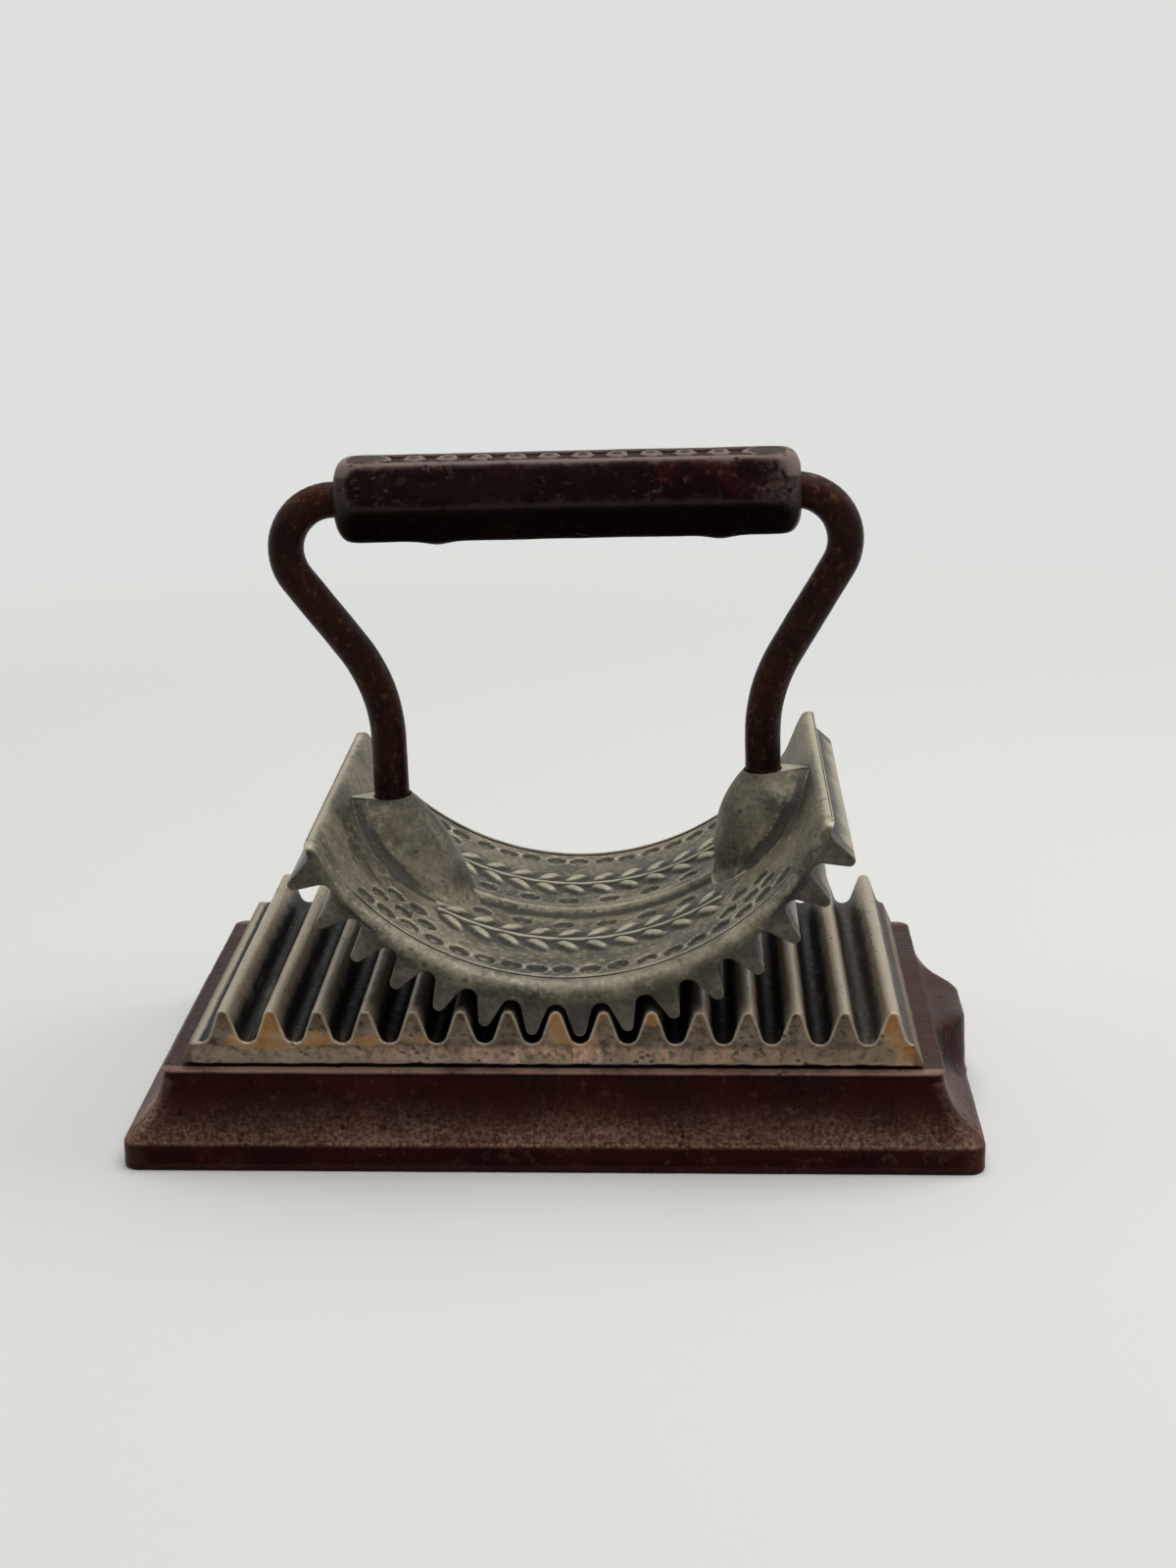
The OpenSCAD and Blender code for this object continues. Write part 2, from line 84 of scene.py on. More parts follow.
LUG_CORNER = 7.0
LUG_FLARE = 7.0
LUG_DROP = 1.8
LUG_TAPER = 0.3
LUG_TAPER_TOP = 16.0
LUG_LIP_BLEND = 3.6
LUG_ROOT_BLEND = 2.0

# Sizes of the bed plate
BED_X = bed_high.x
BED_Y = bed_high.y
BED_Z = bed_low.z
CREST_Z = bed_high.z
BED_FLUTE = 6.2
BED_TIP = 1.2
ROOT_Z = CREST_Z - BED_FLUTE
ROOT_ROUND = 1.7
PITCH = 8.35
FLUTES = 15
ROW_SHIFT = 1.0
EDGE = 0.3
END_RING = 0.3
BED_STEP = 1.2
BED_LEAN = 1.6
KNEE_X = 0.9
KNEE_Z = BED_Z + 2.4
END_BEVEL = 0.2
LEFT_BEVEL = 0.3
END_WEAR = 0.1
RIGHT_WEAR = 0.12
CHIP_HEIGHT = 0.3
CHIP_DEPTH = 2.5
CREST_WEAR = 0.02
CREST_WEAR_BROAD = 0.016
CREST_WEAR_FINE = 0.012

# Sizes of the rocker's shoe and cradle, which are drawn round the rolling centre
CIRCLE_FLUTES = 40
STEP = 360 / CIRCLE_FLUTES
PITCH_R = CIRCLE_FLUTES * PITCH / math.tau
TIP_RISE = 1.44
TIP_R = PITCH_R + TIP_RISE
SHOE_FLUTE = 6.0
SHOE_TIP = 1.1
SHOE_WEAR = 0.05
GROOVE_R = TIP_R - SHOE_FLUTE
SHOE_WALL = 4.0
THINNEST = 0.25
ROLL = 2.67
CENTRE = pivot + Vector((0, 0, PITCH_R))
LAND = 1.3
LAND_ANGLE = FLUTES / 2 * STEP + math.degrees(LAND / GROOVE_R)
SHOE_CORNER = 2.2
SHOE_CORNER_ANGLE = 1.3
INNER_RISE = 5.0
INNER_R = GROOVE_R - SHOE_WALL + INNER_RISE
END_SWELL = 1.0
END_ROUND = 1.5
END_ROUND_ANGLE = 2.0
END_FINE_ANGLE = 2.4
ROCKER_Y = BED_Y
LIP = 3.0
LIP_ROUND = 2.5
LIP_FLATTENS = 0.65
SEAM = 0.55
CRADLE_Y = ROCKER_Y - LIP - SEAM
CRADLE_PLATE = 0.65
CRADLE_END = 0.1
CRADLE_GAP = 0.1

# Sizes of what is cast on the cradle
RIB_HEIGHT = 1.3
STEM_HEIGHT = 0.5
LEAF_HEIGHT = 0.8
LEAF_ROW = 15.0
LEAF_ASIDE = 3.0
LEAF_TURN = 40
LEAVES = 10
LEAF_START = -25
LEAF_PITCH = 5.6
DIMPLE_DEPTH = 0.5
DIMPLE_UNEVEN = 0.15
BOSS_SHOULDER = 45
BOSS_BITE = 0.4
BOSS_RIDGE = 0.8
BOSS_RIDGE_DEPTH = 4.5
FILLET = 1.5
FILLET_HEIGHT = 2.8

# Sizes of the bail and the grip
POST_X = 34.3
ROD_R = 3.3
ROD_WEAR = 0.06
ROD_HOLE = ROD_R + 0.12
SOCKET_RIM = ROD_R + 0.2
SOCKET_DEPTH = 2.6
ROD_DEPTH = 2.4
LEFT_DROP = 19.8
RIGHT_DROP = 18.0
LEFT_REACH = 51.0
RIGHT_REACH = 49.3
LEFT_LEAN = 36.4
RIGHT_LEAN = 31.0
POST_BEND = 30.0
SHOULDER_BEND = 9.0
BAIL_LEAN = 1.73
BAIL_PIVOT = -RIGHT_DROP
GRIP_RISE = 34.4
GRIP_HALF = 41.4
GRIP_FLAT = 7.4
GRIP_CORNER = 2 * GRIP_FLAT / math.sqrt(3)
GRIP_CORNER_WEAR = 0.3
GRIP_WEAR = 0.05
GRIP_ROUND = 4.5
GRIP_TURN = 3.5
PANEL_DEPTH = 0.6
PELLET_PITCH = 6.0
PELLET_LENGTH = 2.5
PELLET_WIDTH = 2.9
LUMPS = (-23.4, 27.1)
LUMP_HEIGHT = 0.9
LUMP_LENGTH = 3.0
LUMP_ANGLE = 262
LUMP_SPREAD = 22

# Merging of points, smooth shading, and the distance in the noise from one flute to the next
MERGE = 0.004 * MM
CREASE = 35
TINY = 1e-9
APART = 9


def sine(degrees):
    return math.sin(math.radians(degrees))


def cosine(degrees):
    return math.cos(math.radians(degrees))


def tangent(degrees):
    return math.tan(math.radians(degrees))


def spread(start, end, count):
    """Evenly spaced numbers from start to end, both included."""
    return [start + (end - start) * i / (count - 1) for i in range(count)]


def ease(low, high, value):
    """Rises smoothly from 0 at low to 1 at high."""
    t = min(max((value - low) / (high - low), 0.0), 1.0)
    return t * t * (3 - 2 * t)


def fall_off(share):
    """Goes from 0 to 1 along a quarter circle, slowly at first."""
    return 1 - math.sqrt(1 - share * share)


def soft_max(a, b, blend):
    """The larger of two numbers, with a rounded change from one to the other."""
    near = max(blend - abs(a - b), 0.0) / blend
    return max(a, b) + near * near * blend / 4


def rough(x, y, z, scale):
    """Smooth unevenness between -1 and 1, at a scale in millimetres."""
    return noise.noise(Vector((x, y, z)) / scale)


def arc(centre, radius, start, end, steps):
    """Points of an arc in a plane."""
    return [
        (centre[0] + radius * cosine(a), centre[1] + radius * sine(a))
        for a in spread(start, end, steps + 1)
    ]


# Modelling


def pick(*pieces):
    """Selects these pieces alone, and makes the first one active."""
    bpy.ops.object.select_all(action="DESELECT")
    for piece in pieces:
        piece.select_set(True)
    bpy.context.view_layer.objects.active = pieces[0]


def set_ring(piece, ring):
    """Moves the corners of the one selected face to the points of a ring."""
    shape = bmesh.from_edit_mesh(piece.data)
    face = next(face for face in shape.faces if face.select)
    for corner, point in zip(face.verts, ring):
        corner.co = Vector(point) * MM
    bmesh.update_edit_mesh(piece.data)


def loft(name, rings):
    """Starts from a flat disc and extrudes it from ring to ring, so that the skin is closed."""
    bpy.ops.object.select_all(action="DESELECT")
    bpy.ops.mesh.primitive_circle_add(vertices=len(rings[0]), fill_type="NGON")
    piece = bpy.context.object
    piece.name = name
    bpy.ops.object.mode_set(mode="EDIT")
    set_ring(piece, rings[0])
    for ring in rings[1:]:
        bpy.ops.mesh.extrude_region_move()
        set_ring(piece, ring)
    bpy.ops.mesh.select_all(action="SELECT")
    bpy.ops.mesh.remove_doubles(threshold=MERGE)
    bpy.ops.mesh.dissolve_degenerate(threshold=MERGE)
    bpy.ops.mesh.normals_make_consistent(inside=False)
    if bmesh.from_edit_mesh(piece.data).calc_volume(signed=True) < 0:
        bpy.ops.mesh.flip_normals()
    bpy.ops.object.mode_set(mode="OBJECT")
    return piece


def join(name, pieces):
    pick(*pieces)
    bpy.ops.object.join()
    pieces[0].name = name
    return pieces[0]


def put_on_rocker(piece):
    """Carries a piece that is drawn round the rolling centre to where the rocker stands."""
    piece.rotation_euler = (0, math.radians(-ROLL), 0)
    piece.location = CENTRE * MM
    pick(piece)
    bpy.ops.object.transform_apply(location=True, rotation=True, scale=True)


def cast_surface(piece, size, depth):
    """Gives the skin the slight waviness of a sand casting, inwards only."""
    texture = bpy.data.textures.new(piece.name + " waviness", "CLOUDS")
    texture.noise_scale = size * MM
    texture.noise_depth = 2
    wavy = piece.modifiers.new("waviness", "DISPLACE")
    wavy.texture = texture
    wavy.texture_coords = "LOCAL"
    wavy.mid_level = 1.0
    wavy.strength = depth * MM
    pick(piece)
    bpy.ops.object.modifier_apply(modifier=wavy.name)


def mark_ridges_and_hollows(piece, rounds):
    """Stores, in millimetres, how far each point stands out from its surroundings or lies in a hollow.
    The finishes wear the ridges and paint shade into the hollows.
    """
    mesh = piece.data
    count = len(mesh.vertices)
    place = np.empty(count * 3)
    normal = np.empty(count * 3)
    ends = np.empty(len(mesh.edges) * 2, dtype=int)
    mesh.vertices.foreach_get("co", place)
    mesh.vertices.foreach_get("normal", normal)
    mesh.edges.foreach_get("vertices", ends)
    place = place.reshape(-1, 3)
    normal = normal.reshape(-1, 3)
    first, second = ends.reshape(-1, 2).T
    weight = 1 / (np.linalg.norm(place[first] - place[second], axis=1) + TINY)
    total = np.bincount(first, weight, count) + np.bincount(second, weight, count) + TINY
    smooth = place.copy()
    for _ in range(rounds):
        mean = np.empty_like(smooth)
        for axis in range(3):
            along = np.bincount(first, weight * smooth[second, axis], count)
            along += np.bincount(second, weight * smooth[first, axis], count)
            mean[:, axis] = along / total
        smooth = mean
    proud = ((place - smooth) * normal).sum(axis=1) / MM
    for name, values in (("ridge", proud), ("hollow", -proud)):
        layer = mesh.attributes.new(name, "FLOAT", "POINT")
        layer.data.foreach_set("value", np.clip(values, 0, None))


def dress(piece, body, material, slot, *nodes):
    """Finishes a piece and lets it stand for CAD nodes."""
    pick(piece)
    bpy.ops.object.shade_smooth_by_angle(angle=math.radians(CREASE))
    piece.data.materials.clear()
    piece.data.materials.append(material)
    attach(piece, body)
    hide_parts(*nodes)


# Plinth


def lug_reach(y, z):
    """How far the lifting lug reaches out at one place of the plinth's right end."""
    half = LUG_HALF + LUG_TAPER * max(LUG_TAPER_TOP - z, 0)
    side = ease(half + LUG_FLARE, half - LUG_CORNER, abs(y))
    edge = LUG_ROOT + (LUG_EDGE - LUG_ROOT) * side
    slope = LUG_ROOT + (BASE_TOP - z) * (FOOT_X - LUG_ROOT) / LUG_DROP
    return -soft_max(-edge, -slope, LUG_LIP_BLEND)


def plinth_ring(z, inset_x, inset_y, corner, lug=False):
    """One level of the plinth: a rectangle with round corners, and the lug on its right end."""
    half_x = FOOT_X - inset_x
    half_y = FOOT_Y - inset_y
    turn_x = half_x - corner
    turn_y = half_y - corner
    corner_steps = 8
    side_points = 71
    right_points = 61
    left_points = 41
    flat = []
    for y in spread(-turn_y, turn_y, right_points):
        x = soft_max(half_x, lug_reach(y, z), LUG_ROOT_BLEND) if lug else half_x
        flat.append((x, y))
    flat += arc((turn_x, turn_y), corner, 0, 90, corner_steps)[1:-1]
    flat += [(x, half_y) for x in spread(turn_x, -turn_x, side_points)]
    flat += arc((-turn_x, turn_y), corner, 90, 180, corner_steps)[1:-1]
    flat += [(-half_x, y) for y in spread(turn_y, -turn_y, left_points)]
    flat += arc((-turn_x, -turn_y), corner, 180, 270, corner_steps)[1:-1]
    flat += [(x, -half_y) for x in spread(-turn_x, turn_x, side_points)]
    flat += arc((turn_x, -turn_y), corner, 270, 360, corner_steps)[1:-1]
    ring = []
    for x, y in flat:
        worn = 1 - PLINTH_WEAR * (1 + rough(x, y, z * 2, PLINTH_WEAR_SIZE))
        ring.append((x * worn, y * worn, z))
    return ring


def foot_rings():
    """The hollow from its ceiling down, the sole, and the foot up to its rounded upper edge."""
    ceiling = BASE_TOP - WALL
    hollow = [(ceiling, 1.5), (ceiling - 0.4, 0.4), (ceiling - 1.5, 0.0)]
    hollow += [(ceiling / 2, 0.0), (0.8, 0.0), (0.0, -0.8)]
    foot = [(0.0, 0.5), (0.15, 0.15), (0.5, 0.0)]
    foot += [(z, FOOT_INSET) for z in (1.6, 2.8, 4.0)]
    for a in spread(0, 50, 6):
        foot.append((FOOT_ROUND_START + FOOT_ROUND * sine(a), FOOT_INSET + FOOT_ROUND * (1 - cosine(a))))
    hollow_x = REACH_X + WALL
    hollow_y = REACH_Y + WALL
    rings = [plinth_ring(z, hollow_x + inset, hollow_y + inset, HOLLOW_CORNER) for z, inset in hollow]
    return rings + [plinth_ring(z, inset, inset, FOOT_CORNER) for z, inset in foot]


def cove_rings():
    """The hollow moulding above the foot. At the ends it is mixed with a straight slope."""
    edge_z = FOOT_HEIGHT + FOOT_BEVEL
    run_x = REACH_X - FOOT_BEVEL
    run_y = REACH_Y - FOOT_BEVEL

    def slope_left(z):
        return END_SLOPE * (END_SLOPE_TOP - z) / (END_SLOPE_TOP - edge_z)

    rings = []
    for a in spread(COVE_START, 90, 24):
        left = (1 - sine(a)) / (1 - sine(COVE_START))
        z = COVE_TOP - (COVE_TOP - edge_z) * cosine(a) / cosine(COVE_START)
        inset_x = REACH_X - run_x * ((1 - END_SLOPE) * left + slope_left(z))
        corner = TOP_CORNER + (FOOT_CORNER - TOP_CORNER) * left
        rings.append(plinth_ring(z, inset_x, REACH_Y - run_y * left, corner, lug=True))
    for z in (16.3, END_SLOPE_TOP):
        inset_x = REACH_X + LIP_INSET - run_x * slope_left(z)
        rings.append(plinth_ring(z, inset_x, REACH_Y + LIP_INSET, TOP_CORNER, lug=True))
    return rings


def lip_rings():
    """The rounded lip at the plinth's top, and the top in to where the bed plate covers it."""
    rings = []
    for a in spread(-60, 85, 16):
        z = BASE_TOP - BEAD + BEAD * sine(a)
        inset = BEAD_INSET - BEAD * cosine(a)
        rings.append(plinth_ring(z, REACH_X + inset, REACH_Y + inset, TOP_CORNER, lug=True))
    for inset in (0.5, 1.2, 3.0):
        rings.append(plinth_ring(BASE_TOP, REACH_X + inset, REACH_Y + inset, TOP_CORNER))
    return rings


# Bed plate


def flute(tip, root, tip_round, root_round, groove_end, inset):
    """Outline of one flute, from the bottom of the groove on its left to the one on its right."""
    steps = 8
    span = math.hypot(root[0] - tip[0], root[1] - tip[1])
    flank = math.degrees(math.atan2(root[1] - tip[1], root[0] - tip[0]))
    flank += math.degrees(math.acos((tip_round + root_round) / span))
    right = arc(root, root_round + inset, 180 + flank, groove_end, steps)
    left = [(-x, z) for x, z in reversed(right)]
    crest = arc(tip, tip_round - inset, 180 - flank, flank, steps)
    return left + crest + right[:-1]


def edge_inset(depth):
    """How far a rounded front or back edge draws the outline in, at a depth behind the face."""
    return EDGE * fall_off(max(1 - depth / EDGE, 0))


def bed_ring(y, inset):
    """One section of the bed: its chipped underside, an end, the row of flutes and the other end."""
    one = flute((0, BED_FLUTE - BED_TIP), (PITCH / 2, ROOT_ROUND), BED_TIP, ROOT_ROUND, 270, inset)
    first = ROW_SHIFT - (FLUTES - 1) / 2 * PITCH
    last = first + (FLUTES - 0.5) * PITCH
    left = -BED_X + inset + END_WEAR * (1 + rough(0, y, 0, 9))
    right = BED_X - inset - RIGHT_WEAR * (1 + rough(5, y, 7, 6)) - END_WEAR * (1 + rough(5, y, 9, 2))
    land = ROOT_Z - inset
    near = ease(CHIP_DEPTH, 0.0, BED_Y - abs(y))
    flat = []
    for x in spread(right, left, 150):
        chip = CHIP_HEIGHT * near * max(rough(x, y, 3, 2.5) + 0.2, 0)
        flat.append((x, BED_Z + inset + chip))
    flat += [(left + KNEE_X, KNEE_Z), (left + BED_LEAN, land - END_BEVEL)]
    flat.append((left + BED_LEAN + LEFT_BEVEL, land))
    for k in range(FLUTES):
        worn = CREST_WEAR + CREST_WEAR_BROAD * rough(k * APART, y, 3, 16)
        worn += CREST_WEAR_FINE * rough(k * APART, y, 8, 4)
        for x, z in one:
            flat.append((x + first + k * PITCH, ROOT_Z + z * (1 - worn * ease(2, 6, z))))
    flat.append((min(last, right - BED_LEAN - END_BEVEL), land))
    flat += [(right - BED_LEAN, land - END_BEVEL), (right - KNEE_X, KNEE_Z)]
    return [(x, y, z) for x, z in flat]


def bed_rings():
    """Sections from front to back. One more ring on the front and back faces holds wear to the edges."""
    near = [(0.0, EDGE + END_RING)]
    near += [(EDGE * part, edge_inset(EDGE * part)) for part in (0.0, 0.12, 0.4, 1.0)]
    count = round(2 * (BED_Y - EDGE) / BED_STEP)
    stations = [(depth - BED_Y, inset) for depth, inset in near]
    stations += [(y, 0.0) for y in spread(EDGE - BED_Y, BED_Y - EDGE, count + 1)[1:-1]]
    stations += [(BED_Y - depth, inset) for depth, inset in reversed(near)]
    return [bed_ring(y, inset) for y, inset in stations]


# Shoe of the rocker


def on_rocker(angle, radius, y):
    """A point at an angle from the lowest line of the rocker."""
    return (radius * sine(angle), y, -radius * cosine(angle))


def inner_radius(angle, radius):
    """Distance from the rolling centre to a circle round the higher centre of the inner curve."""
    aside = INNER_RISE * sine(angle)
    return math.sqrt(radius ** 2 - aside ** 2) - INNER_RISE * cosine(angle)


def end_bead(angle):
    """How far the inner face swells towards the rocker's two ends, before it rounds off."""
    swell = END_SWELL * ease(LAND_ANGLE - 13, LAND_ANGLE - 3, abs(angle))
    past = min(max((abs(angle) - LAND_ANGLE + END_ROUND_ANGLE) / END_ROUND_ANGLE, 0), 1)
    return swell - END_ROUND * fall_off(past)


def end_spread(end, count):
    """Angles from one end of the rocker to the other, closer together where the ends are rounded."""
    inner = end - END_FINE_ANGLE
    near = spread(end, inner, 9)[:-1]
    return near + spread(inner, -inner, count) + [-a for a in reversed(near)]


def seat_radius(angle):
    """Radius of the surface on which the cradle lies, which drops away under its rounded ends."""
    plain = inner_radius(angle, INNER_R + CRADLE_PLATE)
    return max(plain, inner_radius(angle, INNER_R) - end_bead(angle) + CRADLE_END)


def seam_width(angle):
    """The seam round the cradle is open along the middle and closes towards the rocker's ends."""
    return 1 - ease(46, 56, abs(angle))


def shoe_ring(y, inset, level):
    """One section of the shoe: its flutes, then the inside of the lip or, without a level, the seat."""
    root_r = GROOVE_R + ROOT_ROUND
    root = (root_r * sine(STEP / 2), root_r * cosine(STEP / 2))
    one = flute((0, TIP_R - SHOE_TIP), root, SHOE_TIP, ROOT_ROUND, 270 - STEP / 2, inset)
    edge = GROOVE_R - inset
    near = max(1 - (ROCKER_Y - abs(y)) / SHOE_CORNER, 0)
    land = LAND_ANGLE - SHOE_CORNER_ANGLE * fall_off(near)
    ring = [on_rocker(-land, edge, y)]
    for k in range(FLUTES):
        a = (k - (FLUTES - 1) / 2) * STEP
        worn = SHOE_WEAR + SHOE_WEAR * rough(k * APART, y, 40, 15)
        for x, z in one:
            z -= worn * ease(TIP_R - 3, TIP_R, z)
            ring.append((x * cosine(a) + z * sine(a), y, x * sine(a) - z * cosine(a)))
    ring.append(on_rocker(land, edge, y))
    for a in end_spread(land, 165):
        if level is None:
            r = seat_radius(a) + CRADLE_GAP
        else:
            share = 1 - LIP_FLATTENS * ease(45, 66, abs(a))
            if abs(y) < ROCKER_Y - LIP_ROUND:
                share = seam_width(a)
            r = inner_radius(a, INNER_R + level * share) - end_bead(a * LAND_ANGLE / land)
        ring.append(on_rocker(a, min(r, edge - THINNEST), y))
    return ring


def shoe_rings():
    """Sections from the front lip over the seat to the back lip."""
    front = []
    for a in spread(0, 90, 10):
        depth = LIP_ROUND * (1 - cosine(a))
        front.append((depth - ROCKER_Y, edge_inset(depth), LIP_ROUND * (1 - sine(a))))
    wall = LIP - ROCKER_Y
    front += [(wall - 0.3, 0.0, 0.0), (wall - 0.1, 0.0, 0.06), (wall, 0.0, 0.25), (wall, 0.0, None)]
    middle = [(y, 0.0, None) for y in spread(wall + 1.5, -wall - 1.5, 32)]
    back = [(-y, inset, level) for y, inset, level in reversed(front)]
    return [shoe_ring(*station) for station in front + middle + back]


# Cradle of the rocker


def dimples():
    """Where the dimples of one half of the face lie, along and across, and how long and wide they are."""
    rim = [(-42.5 + k * 5.0, 28.8, 2.25, 2.1) for k in range(18)]
    ends = [(side * (29.5 + k * 4.8), 24.0, 2.1, 2.0) for side in (-1, 1) for k in range(3)]
    ends += [(side * (32 + k * 4.8), 19.4, 2.1, 2.0) for side in (-1, 1) for k in range(2)]
    beside_rib = [(-20 + k * 8.2, 6.6, 2.3, 1.8) for k in range(6)]
    return rim + ends + beside_rib


def ornament(angle, y):
    """Height of the cradle's face above its plain curve: rib, leaf rows and dimples, as arrays."""
    along = np.radians(angle) * (INNER_R - INNER_RISE / 2)

    def smooth(low, high, value):
        t = np.clip((value - low) / (high - low), 0, 1)
        return t * t * (3 - 2 * t)

    def oval(s, v, length, width, turn, edge):
        c = cosine(turn)
        d = sine(turn)
        a = (along - s) * c + (y - v) * d
        b = (y - v) * c - (along - s) * d
        return smooth(0, edge, 1 - np.sqrt((a / length) ** 2 + (b / width) ** 2))

    height = RIB_HEIGHT * smooth(3.2, 0.7, np.abs(y)) * smooth(54, 48, np.abs(angle))
    for panel in (-1, 1):
        middle = panel * LEAF_ROW
        leaves = STEM_HEIGHT * smooth(0.9, 0.3, np.abs(y - middle)) * smooth(29, 28, np.abs(along))
        for k in range(LEAVES):
            s = LEAF_START + k * LEAF_PITCH
            for row in (-1, 1):
                leaf = oval(s, middle + row * LEAF_ASIDE, 3.7, 1.65, row * LEAF_TURN, 0.7)
                leaves = np.maximum(leaves, LEAF_HEIGHT * leaf)
        height += leaves
        for k, (s, v, length, width) in enumerate(dimples()):
            s += 0.8 * rough(k * 7, panel * 30, 2, 5)
            v = panel * (v + 0.5 * rough(k * 7, panel * 10, 22, 5))
            turn = 25 * rough(k * 5, panel * 11, 9, 4)
            depth = DIMPLE_DEPTH + DIMPLE_UNEVEN * rough(k * 3, v, 1, 2)
            height -= depth * oval(s, v, length, width, turn, 0.35)
    return height


def cradle_plate():
    """The thin curved plate of the cradle, with what is cast on its face."""
    end = LAND_ANGLE - 0.05
    angles = np.array([-a for a in end_spread(end, 233)])
    rounded = [(0.0, 0.45), (0.12, 0.16), (0.4, 0.0)]
    stations = [(depth - CRADLE_Y, low) for depth, low in rounded]
    stations += [(y, 0.0) for y in spread(0.9 - CRADLE_Y, CRADLE_Y - 0.9, 113)]
    stations += [(CRADLE_Y - depth, low) for depth, low in reversed(rounded)]
    plain = np.array([inner_radius(a, INNER_R) - end_bead(a) for a in angles])
    closing = np.array([seam_width(a) for a in angles])
    stretch = (CRADLE_Y + SEAM - 0.02) / CRADLE_Y - 1
    rings = []
    for y, low in stations:
        radius = plain - ornament(angles, np.full_like(angles, y)) + low * closing
        depth = y * (1 + stretch * (1 - closing))
        ring = [on_rocker(a, r, v) for a, r, v in zip(angles, radius, depth)]
        for a in spread(end, -end, 61):
            v = y * (1 + stretch * (1 - seam_width(a)))
            ring.append(on_rocker(a, min(seat_radius(a), GROOVE_R - 0.2), v))
        rings.append(ring)
    return loft("cradle_face", rings)


def floor_level(x):
    """Height of the plain inner curve at a distance from the rocker's middle."""
    return INNER_RISE - math.sqrt(INNER_R ** 2 - min(x, INNER_R - 1) ** 2)


def boss_section(size, outer, depth):
    """One level of a boss, with the way out at each point: a round that runs on to the rocker's end."""
    open_angle = 90.0
    if outer < POST_X:
        open_angle = math.degrees(math.acos((outer - POST_X) / size))
    flat = [
        (POST_X + size * cosine(a), size * sine(a), cosine(a), sine(a))
        for a in spread(open_angle, 360 - open_angle, 33)
    ]
    x, y = flat[-1][:2]
    crest = y * (1 - BOSS_RIDGE * (1 - min(depth / BOSS_RIDGE_DEPTH, 1)) ** 2)
    flank = [(x + (outer - x) * t, y + (crest - y) * ease(0, 1, t)) for t in spread(0, 1, 6)]
    flat += [(along, aside, 0, -1) for along, aside in flank[1:]]
    flat += [(outer, crest * t, 0, 0) for t in spread(1, -1, 9)[1:]]
    flat += [(along, -aside, 0, 1) for along, aside in reversed(flank[1:-1])]
    return flat


def boss(name, side, drop, curve, foot_slope):
    """A rounded socket that broadens downwards, narrows to a ridge outwards and is filleted below."""
    start = SOCKET_RIM - curve * cosine(BOSS_SHOULDER)
    foot = curve * (sine(BOSS_SHOULDER) - sine(foot_slope))
    turns = spread(90, 270, 33) + spread(270, 300, 6)[1:] + spread(300, 420, 9)[1:]
    turns += spread(60, 90, 6)[1:-1]

    def hole(depth, size):
        return [(side * (POST_X + size * cosine(a)), size * sine(a), -drop - depth) for a in turns]

    def half_width(depth):
        lean = sine(BOSS_SHOULDER) - min(depth, foot) / curve
        size = start + curve * math.sqrt(1 - lean * lean)
        return size + max(depth - foot, 0) * tangent(foot_slope)

    rings = [hole(SOCKET_DEPTH, ROD_HOLE), hole(0.3, ROD_HOLE), hole(0.08, SOCKET_RIM)]
    for depth in [0.0, 0.05, 0.15, 0.3, 0.5, 0.75] + spread(1.05, GROOVE_R - drop, 44):
        z = -drop - depth
        size = half_width(depth)
        outer = math.sqrt(max(INNER_R ** 2 - (z - INNER_RISE) ** 2, 0)) + BOSS_BITE
        if outer < POST_X - size + BOSS_BITE:
            break
        ring = []
        for x, y, out_x, out_y in boss_section(size, outer, depth):
            above = min(max((z - floor_level(x)) / FILLET_HEIGHT, -0.3), 1)
            grow = FILLET * (1 - above) ** 3 * ease(0.0, 5.0, depth)
            sink = floor_level(x) - floor_level(x + grow * out_x)
            sink *= (1 - max(above, 0)) ** 2
            ring.append((side * (x + grow * out_x), y + grow * out_y, z - sink))
        rings.append(ring)
    return loft(name, rings)


# Bail and grip


def from_bail(x, y, z):
    """A point of the bail, which leans over from the top of the right boss."""
    rise = z - BAIL_PIVOT
    return (
        x * cosine(BAIL_LEAN) + rise * sine(BAIL_LEAN),
        y,
        rise * cosine(BAIL_LEAN) - x * sine(BAIL_LEAN) + BAIL_PIVOT,
    )


def bail_leg(reach, lean, drop):
    """Middle line of one leg: up from its socket, out along the lean, and over towards the grip."""
    shoulder = (reach - SHOULDER_BEND, GRIP_RISE - SHOULDER_BEND)
    lean_x = shoulder[0] + SHOULDER_BEND * cosine(lean)
    lean_z = shoulder[1] - SHOULDER_BEND * sine(lean)
    foot_x = POST_X + POST_BEND * (1 - cosine(lean))
    foot_z = lean_z - (lean_x - foot_x) / tangent(lean)
    post = (POST_X + POST_BEND, foot_z - POST_BEND * sine(lean))
    line = [(POST_X, z) for z in spread(-drop - ROD_DEPTH, post[1], 12)[:-1]]
    line += arc(post, POST_BEND, 180, 180 - lean, 12)
    x, z = line[-1]
    line += [(x + (lean_x - x) * t, z + (lean_z - z) * t) for t in spread(0, 1, 14)[1:-1]]
    line += arc(shoulder, SHOULDER_BEND, -lean, 90, 18)
    return line


